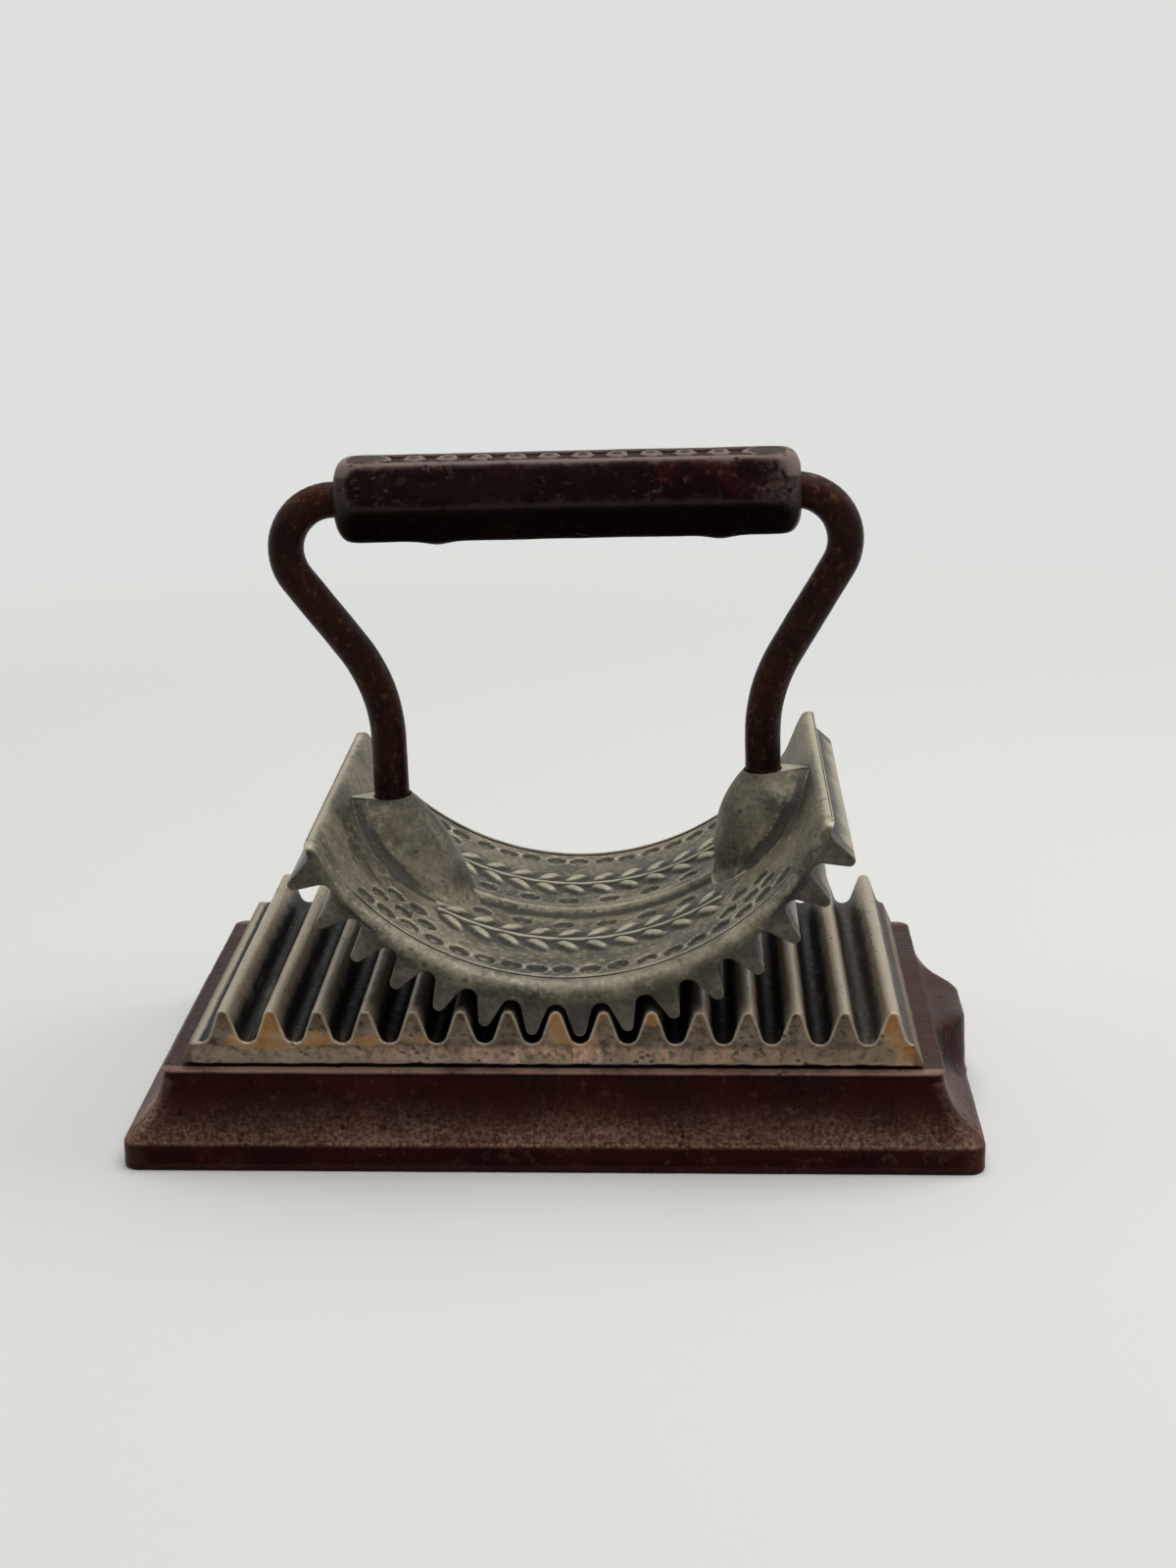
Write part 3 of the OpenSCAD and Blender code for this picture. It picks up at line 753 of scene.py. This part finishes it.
def rod_rings():
    """Rounds along the bail's middle line, from the right socket through the grip to the left one."""
    left = bail_leg(LEFT_REACH, LEFT_LEAN, LEFT_DROP)
    line = bail_leg(RIGHT_REACH, RIGHT_LEAN, RIGHT_DROP)
    line += [(x, GRIP_RISE) for x in spread(line[-1][0], -left[-1][0], 24)[1:-1]]
    line += [(-x, z) for x, z in reversed(left)]
    rings = []
    for i, (x, z) in enumerate(line):
        ahead = Vector(line[min(i + 1, len(line) - 1)])
        behind = Vector(line[max(i - 1, 0)])
        run = (ahead - behind).normalized()
        ring = []
        for a in spread(0, 345, 24):
            r = ROD_R - ROD_WEAR * (1 + rough(i * 3, a / 8, 5, 9))
            out = r * cosine(a)
            ring.append(from_bail(x + out * run.y, r * sine(a), z - out * run.x))
        rings.append(ring)
    return rings


def grip_radius(x, a):
    """Surface of the grip: a worn hexagon with round ends, pellets on its top and lumps below."""
    past = max(abs(x) - (GRIP_HALF - GRIP_ROUND), 0)
    cap = GRIP_CORNER - GRIP_ROUND + math.sqrt(max(GRIP_ROUND ** 2 - past ** 2, 0))
    off = (a % 60) - 30
    flat = GRIP_FLAT / cosine(off) - GRIP_CORNER_WEAR * (abs(off) / 30) ** 6
    r = -soft_max(-flat, -cap, 0.8)
    r -= GRIP_WEAR * (1 + rough(x, r * cosine(a), r * sine(a), 11))
    if 66 < a < 114:
        aside = r * cosine(a)
        panel = ease(3.9, 3.4, abs(aside)) * ease(33, 32, abs(x))
        along = (x + 5 * PELLET_PITCH) % PELLET_PITCH - PELLET_PITCH / 2
        pellet = 1 - math.hypot(along / PELLET_LENGTH, aside / PELLET_WIDTH)
        r -= PANEL_DEPTH * panel * (1 - ease(0.0, 0.4, pellet))
    if a > 180:
        for lump in LUMPS:
            away = ((x - lump) / LUMP_LENGTH) ** 2 + ((a - LUMP_ANGLE) / LUMP_SPREAD) ** 2
            r += LUMP_HEIGHT * math.exp(-away)
    return r


def grip_ring(x, bore=None):
    """One section of the grip's surface, or of its bore."""
    ring = []
    for a in spread(0, 357, 120):
        r = grip_radius(x, a) if bore is None else bore
        y = r * cosine(a)
        z = r * sine(a)
        turned_y = y * cosine(GRIP_TURN) - z * sine(GRIP_TURN)
        turned_z = y * sine(GRIP_TURN) + z * cosine(GRIP_TURN)
        ring.append(from_bail(x, turned_y, GRIP_RISE + turned_z))
    return ring


def grip_rings():
    """Sections from the bore's left mouth over the surface to its right mouth."""
    mouth = [(GRIP_HALF - 2.2, ROD_HOLE), (GRIP_HALF - 0.3, ROD_HOLE), (GRIP_HALF, ROD_HOLE + 0.4)]
    ends = [GRIP_HALF - GRIP_ROUND * (1 - sine(a)) for a in spread(90, 0, 9)]
    surface = [-x for x in ends] + spread(-ends[-1], ends[-1], 121)[1:-1] + ends[::-1]
    rings = [grip_ring(-x, bore) for x, bore in mouth]
    rings += [grip_ring(x) for x in surface]
    return rings + [grip_ring(x, bore) for x, bore in reversed(mouth)]


# Shader nodes


def feed(tree, node, values):
    """Sets or links a node's inputs."""
    for key, value in values.items():
        if isinstance(value, Value):
            tree.links.new(value.socket, node.inputs[key])
        else:
            node.inputs[key].default_value = value


def put(tree, kind, values=(), **settings):
    """Adds a shader node."""
    made = tree.nodes.new("ShaderNode" + kind)
    for name, value in settings.items():
        setattr(made, name, value)
    feed(tree, made, dict(values))
    return made


def read(tree, kind, output, values=(), **settings):
    """Adds a shader node, and takes one of its outputs."""
    return Value(tree, put(tree, kind, values, **settings).outputs[output])


class Value:
    """What a shader node puts out: a number, a colour or a place. Sums with it add further nodes."""

    def __init__(self, tree, socket):
        self.tree = tree
        self.socket = socket

    def calc(self, operation, other=0.0):
        return read(self.tree, "Math", 0, {0: self, 1: other}, operation=operation)

    def __add__(self, other):
        return self.calc("ADD", other)

    def __sub__(self, other):
        return self.calc("SUBTRACT", other)

    def __rsub__(self, other):
        return read(self.tree, "Math", 0, {0: other, 1: self}, operation="SUBTRACT")

    def __mul__(self, other):
        return self.calc("MULTIPLY", other)

    def __abs__(self):
        return self.calc("ABSOLUTE")

    def larger(self, other):
        return self.calc("MAXIMUM", other)

    def band(self, low, high, out_low=0.0, out_high=1.0):
        """Rises or falls smoothly while the number goes from low to high."""
        values = {"Value": self, "From Min": low, "From Max": high, "To Min": out_low, "To Max": out_high}
        return read(self.tree, "MapRange", "Result", values, interpolation_type="SMOOTHSTEP")

    def zone(self, low, high, out_low=0.0, out_high=1.0):
        """A band between two places that are given in millimetres."""
        return self.band(low * MM, high * MM, out_low, out_high)

    def mix(self, first, second):
        """The first colour where the number is 0, and the second where it is 1."""
        return read(self.tree, "Mix", 2, {0: self, 6: first, 7: second}, data_type="RGBA")

    def grain(self, scale, detail, roughness):
        """Noise over the place."""
        values = {"Vector": self, "Scale": scale, "Detail": detail, "Roughness": roughness}
        return read(self.tree, "TexNoise", "Fac", values)

    def axes(self):
        """The place's three parts."""
        return [Value(self.tree, part) for part in put(self.tree, "SeparateXYZ", {0: self}).outputs]


def rgb(red, green, blue):
    """A colour as read on a screen, from 0 to 255, turned into linear light."""
    def linear(value):
        value = value / 255
        return value / 12.92 if value <= 0.04045 else ((value + 0.055) / 1.055) ** 2.4
    return (linear(red), linear(green), linear(blue), 1.0)


# Effects that the finishes share


def effect(name, inputs, outputs):
    """A new shader node group, what it is given, and the node that takes its results."""
    group = bpy.data.node_groups.new(name, "ShaderNodeTree")
    group.interface.new_socket("Position", in_out="INPUT", socket_type="NodeSocketVector")
    for label, value in inputs.items():
        kind = "NodeSocketVector" if isinstance(value, tuple) else "NodeSocketFloat"
        group.interface.new_socket(label, in_out="INPUT", socket_type=kind).default_value = value
    for label in outputs:
        group.interface.new_socket(label, in_out="OUTPUT", socket_type="NodeSocketFloat")
    sockets = group.nodes.new("NodeGroupInput").outputs
    given = {socket.name: Value(group, socket) for socket in sockets}
    return group, given, group.nodes.new("NodeGroupOutput")


def casting_group():
    """Sand-cast skin: fine grain, broad mottling and small pits."""
    group, given, result = effect(
        "casting skin", {"Size": 1.0, "Pits": 0.5}, ["Height", "Mottle", "Pit Mask"]
    )
    scaled = {0: given["Position"], "Scale": given["Size"]}
    place = read(group, "VectorMath", 0, scaled, operation="SCALE")
    cells = read(group, "TexVoronoi", "Distance", {"Vector": place, "Scale": 520.0}, feature="F1")
    pits = cells.band(0.34, 0.12) * place.grain(160, 2.0, 0.5).band(0.5, 0.62) * given["Pits"]
    height = place.grain(1400, 3.0, 0.6) * 0.35 + place.grain(420, 3.0, 0.55) * 0.65 - pits * 0.8
    feed(group, result, {"Height": height, "Mottle": place.grain(70, 5.0, 0.6), "Pit Mask": pits})
    return group


def wear_group():
    """Where handling has rubbed the edges, broken up into patches."""
    group, given, result = effect(
        "edge wear", {"Ridge": 0.0, "Start": 0.05, "Full": 0.2, "Patchiness": 0.15}, ["Mask"]
    )
    place = given["Position"]
    patches = place.grain(190, 4.0, 0.6) * 0.7 + place.grain(1100, 2.0, 0.5) * 0.3
    worn = given["Ridge"] + (patches - 0.5) * given["Patchiness"]
    feed(group, result, {"Mask": worn.band(given["Start"], given["Full"])})
    return group


def scrape_group():
    """Short strokes that run one way, for scraped and brushed metal."""
    group, given, result = effect("scrapes", {"Stretch": (1.0, 1.0, 1.0), "Amount": 0.5}, ["Mask"])
    stretched = {0: given["Position"], 1: given["Stretch"]}
    place = read(group, "VectorMath", 0, stretched, operation="MULTIPLY")
    level = place.grain(900, 3.0, 0.6) * 0.5 + given["Position"].grain(85, 3.0, 0.55) * 0.5
    start = 0.72 - given["Amount"] * 0.35
    feed(group, result, {"Mask": level.band(start, start + 0.12)})
    return group


casting_skin = casting_group()
edge_wear = wear_group()
scrapes = scrape_group()


def use(group, values):
    """Places a node group where its position comes from, and gives its outputs."""
    tree = values["Position"].tree
    made = put(tree, "Group", values, node_tree=group)
    return {socket.name: Value(tree, socket) for socket in made.outputs}


def cast_skin(place, size, pits):
    return use(casting_skin, {"Position": place, "Size": size, "Pits": pits})


def worn_edges(place, ridge, start, full, patchiness):
    values = {"Position": place, "Ridge": ridge, "Start": start, "Full": full, "Patchiness": patchiness}
    return use(edge_wear, values)["Mask"]


def scraped(place, stretch, amount):
    return use(scrapes, {"Position": place, "Stretch": stretch, "Amount": amount})["Mask"]


# Finishes


def start_material(name):
    """A new material, and the place on the piece."""
    material = bpy.data.materials.new(name)
    material.use_nodes = True
    return material, read(material.node_tree, "TexCoord", "Object")


def stored(place, name):
    """What mark_ridges_and_hollows stored on the piece."""
    return read(place.tree, "Attribute", "Fac", attribute_name=name)


def finish_material(colour, roughness, metallic, height, bump, gloss=0.5, sheen=(1, 1, 1, 1)):
    tree = colour.tree
    relief = read(tree, "Bump", "Normal", {"Height": height, "Strength": 1.0, "Distance": bump * MM})
    feed(tree, tree.nodes["Principled BSDF"], {
        "Base Color": colour, "Roughness": roughness, "Metallic": metallic, "Normal": relief,
        "Specular IOR Level": gloss, "Specular Tint": sheen,
    })


def japan_material(name, dark, light, dust_colour, dust_amount, rub, gloss):
    """Old dark lacquer on cast iron: mottled, rubbed on the edges, with dust caught in its grain."""
    material, place = start_material(name)
    along, depth, height = place.axes()
    facing, _, up = read(place.tree, "NewGeometry", "Normal").axes()
    skin = cast_skin(place, 1.0, 1.0)
    speckle = place.grain(1300, 3.0, 0.75)
    cloud = place.grain(90, 4.0, 0.6)

    # Mottled lacquer with rusty patches and pale specks
    colour = skin["Mottle"].band(0.36, 0.64).mix(dark, light)
    rust = place.grain(45, 5.0, 0.65).band(0.52, 0.7, 0.0, 0.7)
    colour = rust.mix(colour, rgb(72, 26, 17))
    specks = place.grain(480, 4.0, 0.7).band(0.53, 0.67, 0.0, 0.5) * cloud.band(0.4, 0.58)
    colour = specks.mix(colour, rgb(98, 78, 72))

    # Dust on the slopes of the long sides, and browner tops
    film = speckle.band(0.4, 0.6, 0.18, 0.7) + speckle.band(0.58, 0.68, 0.0, 0.3)
    film = film * cloud.band(0.3, 0.62, 0.55, 1.0) * facing.band(0.2, 0.6, 1.0, 0.3)
    sides = abs(depth).zone(26, 34, 0.3, 1.0)
    slope = up.band(0.04, 0.66) * up.band(0.98, 0.75, 0.2, 1.0)
    dust = film * sides * slope * dust_amount
    colour = dust.mix(colour, dust_colour)
    colour = up.band(0.7, 0.95, 0.0, 0.7).mix(colour, rgb(46, 27, 20))

    # Rubbed edges, most on the plinth's upper half and the grip's top, and scuffs at the grip's ends
    worn = worn_edges(place, stored(place, "ridge"), 0.02, 0.1, 0.14)
    rubbed = height.zone(11, 16, 0.25 * rub, rub).larger(height.zone(116.5, 117.5, 0.0, 0.85))
    handled = sides.band(0.3, 1.0).larger(height.zone(50, 80))
    colour = (worn * rubbed * handled).mix(colour, dust_colour)
    scuffs = scraped(place, (1.0, 1.0, 1.0), 0.62) * 0.3
    ends = abs(along).zone(34, 41) * height.zone(90, 100)
    colour = (scuffs * ends).mix(colour, dust_colour)

    # Painted shade in the hollows, dust on the ledge beside the bed, pits, and painted shade on the faces
    # that point down
    # Painted shade: concave places are darkened towards near-black.
    colour = stored(place, "hollow").band(0.02, 0.12, 0.0, 0.8).mix(colour, rgb(12, 5, 5))
    rim = FOOT_Y - REACH_Y
    ledge = abs(depth).zone(rim - 2.5, rim - 1.5) * cloud.band(0.35, 0.6, 0.2, 0.65)
    ledge = ledge * height.zone(BASE_TOP - 1.0, BASE_TOP - 0.5)
    ledge = ledge * height.zone(BASE_TOP + 0.9, BASE_TOP + 0.5)
    colour = ledge.mix(colour, dust_colour)
    colour = (skin["Pit Mask"] * 0.8).mix(colour, rgb(16, 8, 8))
    # Painted shade: faces that point down are darkened towards near-black.
    colour = up.band(-0.15, -0.6, 0.0, 0.85).mix(colour, rgb(8, 4, 4))

    roughness = skin["Mottle"].band(0.3, 0.7, 0.28, 0.42) + dust * 0.3
    sheen = (1.0, 0.5, 0.42, 1.0)
    finish_material(colour, roughness, 0.0, skin["Height"], 0.2, gloss, sheen)
    return material


def bed_face(place, mottle):
    """Colour of the bed's front face, and where bare metal shines on it."""
    x, _, z = place.axes()
    aside = abs(x - 2 * MM)
    coarse = place.grain(700, 3.0, 0.7)
    face = mottle.band(0.3, 0.7).mix(rgb(84, 70, 58), rgb(134, 112, 91))

    # A pale strip under the flutes, strongest in the middle, and dark grain over it
    strip = z.zone(ROOT_Z - 0.2, ROOT_Z - 1.4) * aside.zone(55, 20, 0.3, 1.0)
    strip = strip * place.grain(140, 4.0, 0.65).band(0.36, 0.58, 0.25, 1.0)
    face = strip.mix(face, rgb(204, 164, 132))
    face = coarse.band(0.47, 0.62, 0.0, 0.85).mix(face, rgb(48, 38, 31))

    # Brass-coloured patches, more of them high up and at the right
    gold = place.grain(62, 2.0, 0.5) + x.zone(50, 62, 0.0, 0.16)
    gold = (gold + z.zone(ROOT_Z - 1.6, ROOT_Z + 0.4, -0.06, 0.04)).band(0.6, 0.65)
    face = (gold * 0.85).mix(face, rgb(154, 110, 60))

    # Scrapes low down, and the bright rim below them
    strokes = scraped(place, (1.0, 1.0, 0.4), aside.zone(50, 12, 0.12, 0.62))
    copper = z.zone(BED_Z + 4.4, BED_Z + 2.6) * strokes
    face = (copper * 0.9).mix(face, rgb(228, 178, 148))
    rim = z.zone(BED_Z + 1.0, BED_Z + 0.3) * coarse.band(0.42, 0.6)
    face = (rim * 0.7).mix(face, rgb(212, 188, 164))
    return face, gold.larger(copper)


def bed_material():
    """Tarnished gunmetal flutes with painted shade in the grooves, brassy and scraped where cloth and
    fingers rub.
    """
    material, place = start_material("tarnished bed metal")
    x, y, z = place.axes()
    skin = cast_skin(place, 1.2, 0.8)

    # Flutes: painted shade makes the grooves black, and painted light makes the grooves at the right end
    # lighter
    level = z.zone(ROOT_Z + 2.3, CREST_Z - 0.2)
    painted_groove_shade = x.zone(47, 58).mix(rgb(13, 10, 9), rgb(70, 61, 52))
    colour = level.mix(painted_groove_shade, rgb(132, 120, 104))
    blotch = skin["Mottle"].band(0.4, 0.66, 0.0, 0.5) * level.band(0.1, 0.5)
    colour = blotch.mix(colour, rgb(92, 78, 62))
    drawn = scraped(place, (1.0, 0.03, 1.0), 0.5)
    colour = (drawn * 0.35).mix(colour, rgb(150, 142, 128))

    # Front face and ends
    front = y.zone(0.6 - BED_Y, 0.2 - BED_Y)
    face, bare = bed_face(place, skin["Mottle"])
    colour = front.mix(colour, face)
    side = abs(x).zone(BED_X - 2.6, BED_X - 1.8, 0.0, 0.8)
    colour = side.mix(colour, rgb(96, 79, 64))

    # Worn edges, most along the front and the back, then painted shade in the hollows, and pits
    rubbed = abs(y).zone(BED_Y - 0.5, BED_Y - 0.3, 1.0, 2.6)
    worn = worn_edges(place, stored(place, "ridge") * rubbed, 0.03, 0.16, 0.18) * (1.0 - side)
    colour = (worn * 0.8).mix(colour, rgb(184, 170, 150))
    # Painted shade: concave places are darkened.
    colour = stored(place, "hollow").band(0.01, 0.15, 0.0, 0.85).mix(colour, rgb(22, 17, 15))
    colour = (skin["Pit Mask"] * 0.7).mix(colour, rgb(34, 27, 23))

    roughness = skin["Mottle"].band(0.3, 0.7, 0.4, 0.55) - worn * 0.1
    metallic = bare * front * 0.3 + 0.3
    finish_material(colour, roughness, metallic, skin["Height"], 0.3, gloss=0.18)
    return material


def rocker_material():
    """Olive-grey tarnish on a worn casting: pale on its ridges, dark in its flutes."""
    material, place = start_material("tarnished rocker metal")
    x, y, z = place.axes()
    away_x = x - CENTRE.x * MM
    away_z = z - CENTRE.z * MM
    radius = (away_x * away_x + away_z * away_z).calc("SQRT")
    skin = cast_skin(place, 1.0, 0.7)
    speckle = place.grain(850, 3.0, 0.7)

    # Mottled and speckled casting
    colour = skin["Mottle"].band(0.34, 0.66).mix(rgb(56, 50, 40), rgb(128, 118, 99))
    colour = speckle.band(0.52, 0.7, 0.0, 0.65).mix(colour, rgb(168, 158, 136))
    colour = speckle.band(0.47, 0.32, 0.0, 0.6).mix(colour, rgb(42, 37, 30))

    # Darker flutes with paler crests
    outer = radius.zone(GROOVE_R - 1.6, GROOVE_R + 0.6)
    colour = (outer * 0.85).mix(colour, rgb(62, 58, 53))
    colour = radius.zone(TIP_R - 1.2, TIP_R - 0.1, 0.0, 0.4).mix(colour, rgb(120, 112, 98))

    # Darker mottling on the bosses, with painted shade that makes the left one darker still, and pale
    # horns
    face_r = INNER_R - INNER_RISE
    boss_darkening_and_left_shade = place.grain(95, 5.0, 0.7).band(0.36, 0.6, 0.35, 0.85)
    boss_darkening_and_left_shade = boss_darkening_and_left_shade * radius.zone(face_r - 1.2, face_r - 3.0) * x.zone(10, -10, 1.0, 1.3)
    colour = boss_darkening_and_left_shade.mix(colour, rgb(50, 43, 33))
    horn = z.zone(57, 70) * skin["Mottle"].band(0.35, 0.6, 0.25, 0.6)
    colour = horn.mix(colour, rgb(172, 161, 139))

    # Worn edges, then painted shadow in the seam round the cradle, dark grime and painted shade in the
    # hollows, and pits
    worn = worn_edges(place, stored(place, "ridge"), 0.03, 0.16, 0.18)
    colour = (worn * 0.8).mix(colour, rgb(184, 174, 152))
    away_seam = abs(abs(y) - (CRADLE_Y + SEAM / 2) * MM)
    seam_shadow = away_seam.zone(0.6, 0.35) * z.zone(53, 48) * (1.0 - outer)
    # Painted shadow: the gap between the cradle and the lips is darkened towards near-black.
    colour = (seam_shadow * 0.9).mix(colour, rgb(18, 15, 12))
    # Dark grime and painted shade: concave places are darkened.
    colour = stored(place, "hollow").band(0.006, 0.07, 0.0, 0.85).mix(colour, rgb(32, 28, 23))
    colour = (skin["Pit Mask"] * 0.75).mix(colour, rgb(42, 37, 31))

    roughness = skin["Mottle"].band(0.3, 0.7, 0.46, 0.6) - worn * 0.12
    finish_material(colour, roughness, 0.25, skin["Height"], 0.26, gloss=0.3)
    return material


def rod_material():
    """Dark oxide on bent iron rod, brown where it has been handled."""
    material, place = start_material("dark iron rod")
    skin = cast_skin(place, 1.3, 1.0)
    colour = skin["Mottle"].band(0.35, 0.65).mix(rgb(12, 6, 4), rgb(46, 24, 16))
    flecks = place.grain(620, 4.0, 0.65).band(0.53, 0.7, 0.0, 0.7)
    colour = flecks.mix(colour, rgb(110, 74, 52))
    colour = (skin["Pit Mask"] * 0.8).mix(colour, rgb(18, 13, 12))
    roughness = skin["Mottle"].band(0.3, 0.7, 0.36, 0.52)
    sheen = (1.0, 0.6, 0.5, 1.0)
    finish_material(colour, roughness, 0.0, skin["Height"], 0.16, 0.12, sheen)
    return material


def screw_material():
    """Plain steel with a film of rust."""
    material, place = start_material("rusted screw steel")
    skin = cast_skin(place, 2.0, 0.6)
    rust = place.grain(380, 5.0, 0.65).band(0.45, 0.65)
    colour = rust.mix(rgb(136, 132, 126), rgb(92, 62, 42))
    finish_material(colour, rust * 0.3 + 0.35, 0.9 - rust * 0.7, skin["Height"], 0.04)
    return material


lacquer = japan_material(
    "japanned casting", dark=rgb(30, 7, 5), light=rgb(54, 17, 12),
    dust_colour=rgb(160, 128, 110), dust_amount=1.25, rub=0.4, gloss=0.1,
)
grip_lacquer = japan_material(
    "japanned grip", dark=rgb(11, 3, 6), light=rgb(25, 10, 12),
    dust_colour=rgb(128, 112, 104), dust_amount=0.06, rub=0.24, gloss=0.05,
)
bed_metal = bed_material()
rocker_metal = rocker_material()
rod_iron = rod_material()
screw_steel = screw_material()

# Pieces

plinth = loft("plinth_casting", foot_rings() + cove_rings() + lip_rings())
cast_surface(plinth, 7.0, 0.16)
mark_ridges_and_hollows(plinth, 3)
dress(plinth, "base", lacquer, "japanned_iron", "base_casting")

bed = loft("fluted_bed", bed_rings())
cast_surface(bed, 5.0, 0.08)
mark_ridges_and_hollows(bed, 4)
dress(bed, "base", bed_metal, "bed_metal", "bed_plate")

shoe = loft("fluted_rocker_shoe", shoe_rings())
put_on_rocker(shoe)
cast_surface(shoe, 5.0, 0.08)
mark_ridges_and_hollows(shoe, 4)
dress(shoe, "rocker", rocker_metal, "rocker_metal", "rocker_shoe")

left_boss = boss("left_boss", -1, LEFT_DROP, curve=37.0, foot_slope=12)
right_boss = boss("right_boss", 1, RIGHT_DROP, curve=21.0, foot_slope=1)
cradle = join("cradle_casting", [cradle_plate(), left_boss, right_boss])
put_on_rocker(cradle)
cast_surface(cradle, 4.0, 0.1)
mark_ridges_and_hollows(cradle, 3)
dress(cradle, "rocker", rocker_metal, "rocker_metal", "rocker_cradle")

rod = loft("bent_bail_rod", rod_rings())
put_on_rocker(rod)
dress(rod, "rocker", rod_iron, "rod_iron", "bail_rod")

grip = loft("hexagonal_grip", grip_rings())
put_on_rocker(grip)
cast_surface(grip, 6.0, 0.12)
mark_ridges_and_hollows(grip, 3)
dress(grip, "rocker", grip_lacquer, "japanned_iron", "grip")

for node in ("bed_screws", "bed_washers", "shoe_screws"):
    fixing = frame["nodes"][node]
    fixing.data.materials.clear()
    fixing.data.materials.append(screw_steel)

# Floor, light and camera. Sizes and places of the floor and the lamps are in metres.

FLOOR_SIZE = 12
FLOOR_COLOUR = (0.755, 0.75, 0.72, 1)
FLOOR_BOUNCE = (0.2, 0.2, 0.19, 1)
BACKGROUND = rgb(222, 224, 221)


def background_seen(tree):
    """1 for rays from the camera, and for those that metal or glass sends on."""
    path = put(tree, "LightPath").outputs
    camera_ray = Value(tree, path["Is Camera Ray"])
    glossy_ray = Value(tree, path["Is Glossy Ray"])
    return camera_ray.larger(glossy_ray).larger(Value(tree, path["Is Transmission Ray"]))


def floor_material():
    """Pale board: lit as it is near the object, and an even pale tone further off."""
    material, place = start_material("pale floor")
    tree = place.tree
    seen = background_seen(tree)
    shader = tree.nodes["Principled BSDF"]
    board = seen.mix(FLOOR_BOUNCE, FLOOR_COLOUR)
    feed(tree, shader, {"Base Color": board, "Roughness": 0.9, "Specular IOR Level": 0.0})
    distance = read(tree, "VectorMath", "Value", {0: place}, operation="LENGTH")
    far = distance.zone(140, 550) * seen
    glow = read(tree, "Emission", 0, {"Color": BACKGROUND, "Strength": 1.0})
    mixed = read(tree, "MixShader", 0, {0: far, 1: Value(tree, shader.outputs[0]), 2: glow})
    feed(tree, tree.nodes["Material Output"], {"Surface": mixed})
    return material


bpy.ops.object.select_all(action="DESELECT")
bpy.ops.mesh.primitive_plane_add(size=FLOOR_SIZE)
floor = bpy.context.object
floor.name = "floor"
floor.data.materials.append(floor_material())


def softbox(name, place, target, width, height, power):
    bpy.ops.object.light_add(type="AREA", location=place)
    lamp = bpy.context.object
    lamp.name = name
    lamp.data.shape = "RECTANGLE"
    lamp.data.size = width
    lamp.data.size_y = height
    lamp.data.energy = power
    lamp.rotation_euler = (Vector(target) - Vector(place)).to_track_quat("-Z", "Y").to_euler()


softbox("overhead softbox", (0.12, 0.02, 1.1), (0, 0, 0), width=1.3, height=1.0, power=11.5)
softbox("right softbox", (0.9, 0.15, 0.7), (0, 0, 0.05), width=0.6, height=0.6, power=2.8)
softbox("left softbox", (-0.9, 0.0, 0.6), (0, 0, 0.05), width=0.6, height=0.6, power=0.8)

# The fill light is weak, and stronger from behind the object than from the front.
world = bpy.data.worlds.new("studio")
bpy.context.scene.world = world
world.use_nodes = True
sky = world.node_tree
_, backwards, _ = read(sky, "TexCoord", "Generated").axes()
strength = backwards.band(-0.5, 0.6, 0.12, 0.34).larger(background_seen(sky))
feed(sky, sky.nodes["Background"], {"Color": BACKGROUND, "Strength": strength})

CAMERA_PLACE = Vector((23.671, -414.444, 188.052))
CAMERA_PITCH = 17.278
CAMERA_YAW = -2.491
CAMERA_ROLL = -0.773
CAMERA_LENS = 54.07
CAMERA_SENSOR = 36
CAMERA_NEAR = 0.01

forward = Vector((sine(CAMERA_YAW), cosine(CAMERA_YAW), 0)) * cosine(CAMERA_PITCH)
ahead = forward - Vector((0, 0, sine(CAMERA_PITCH)))
level = Vector((cosine(CAMERA_YAW), -sine(CAMERA_YAW), 0))
upright = level.cross(ahead)
right = level * cosine(CAMERA_ROLL) + upright * sine(CAMERA_ROLL)
up = upright * cosine(CAMERA_ROLL) - level * sine(CAMERA_ROLL)
turn = Matrix((right, up, -ahead)).transposed().to_4x4()
bpy.ops.object.camera_add()
camera = bpy.context.object
camera.name = "photo camera"
camera.matrix_world = Matrix.Translation(CAMERA_PLACE * MM) @ turn
camera.data.sensor_fit = "VERTICAL"
camera.data.sensor_height = CAMERA_SENSOR
camera.data.lens = CAMERA_LENS
camera.data.clip_start = CAMERA_NEAR
bpy.context.scene.camera = camera
bpy.context.scene.view_settings.view_transform = "Standard"
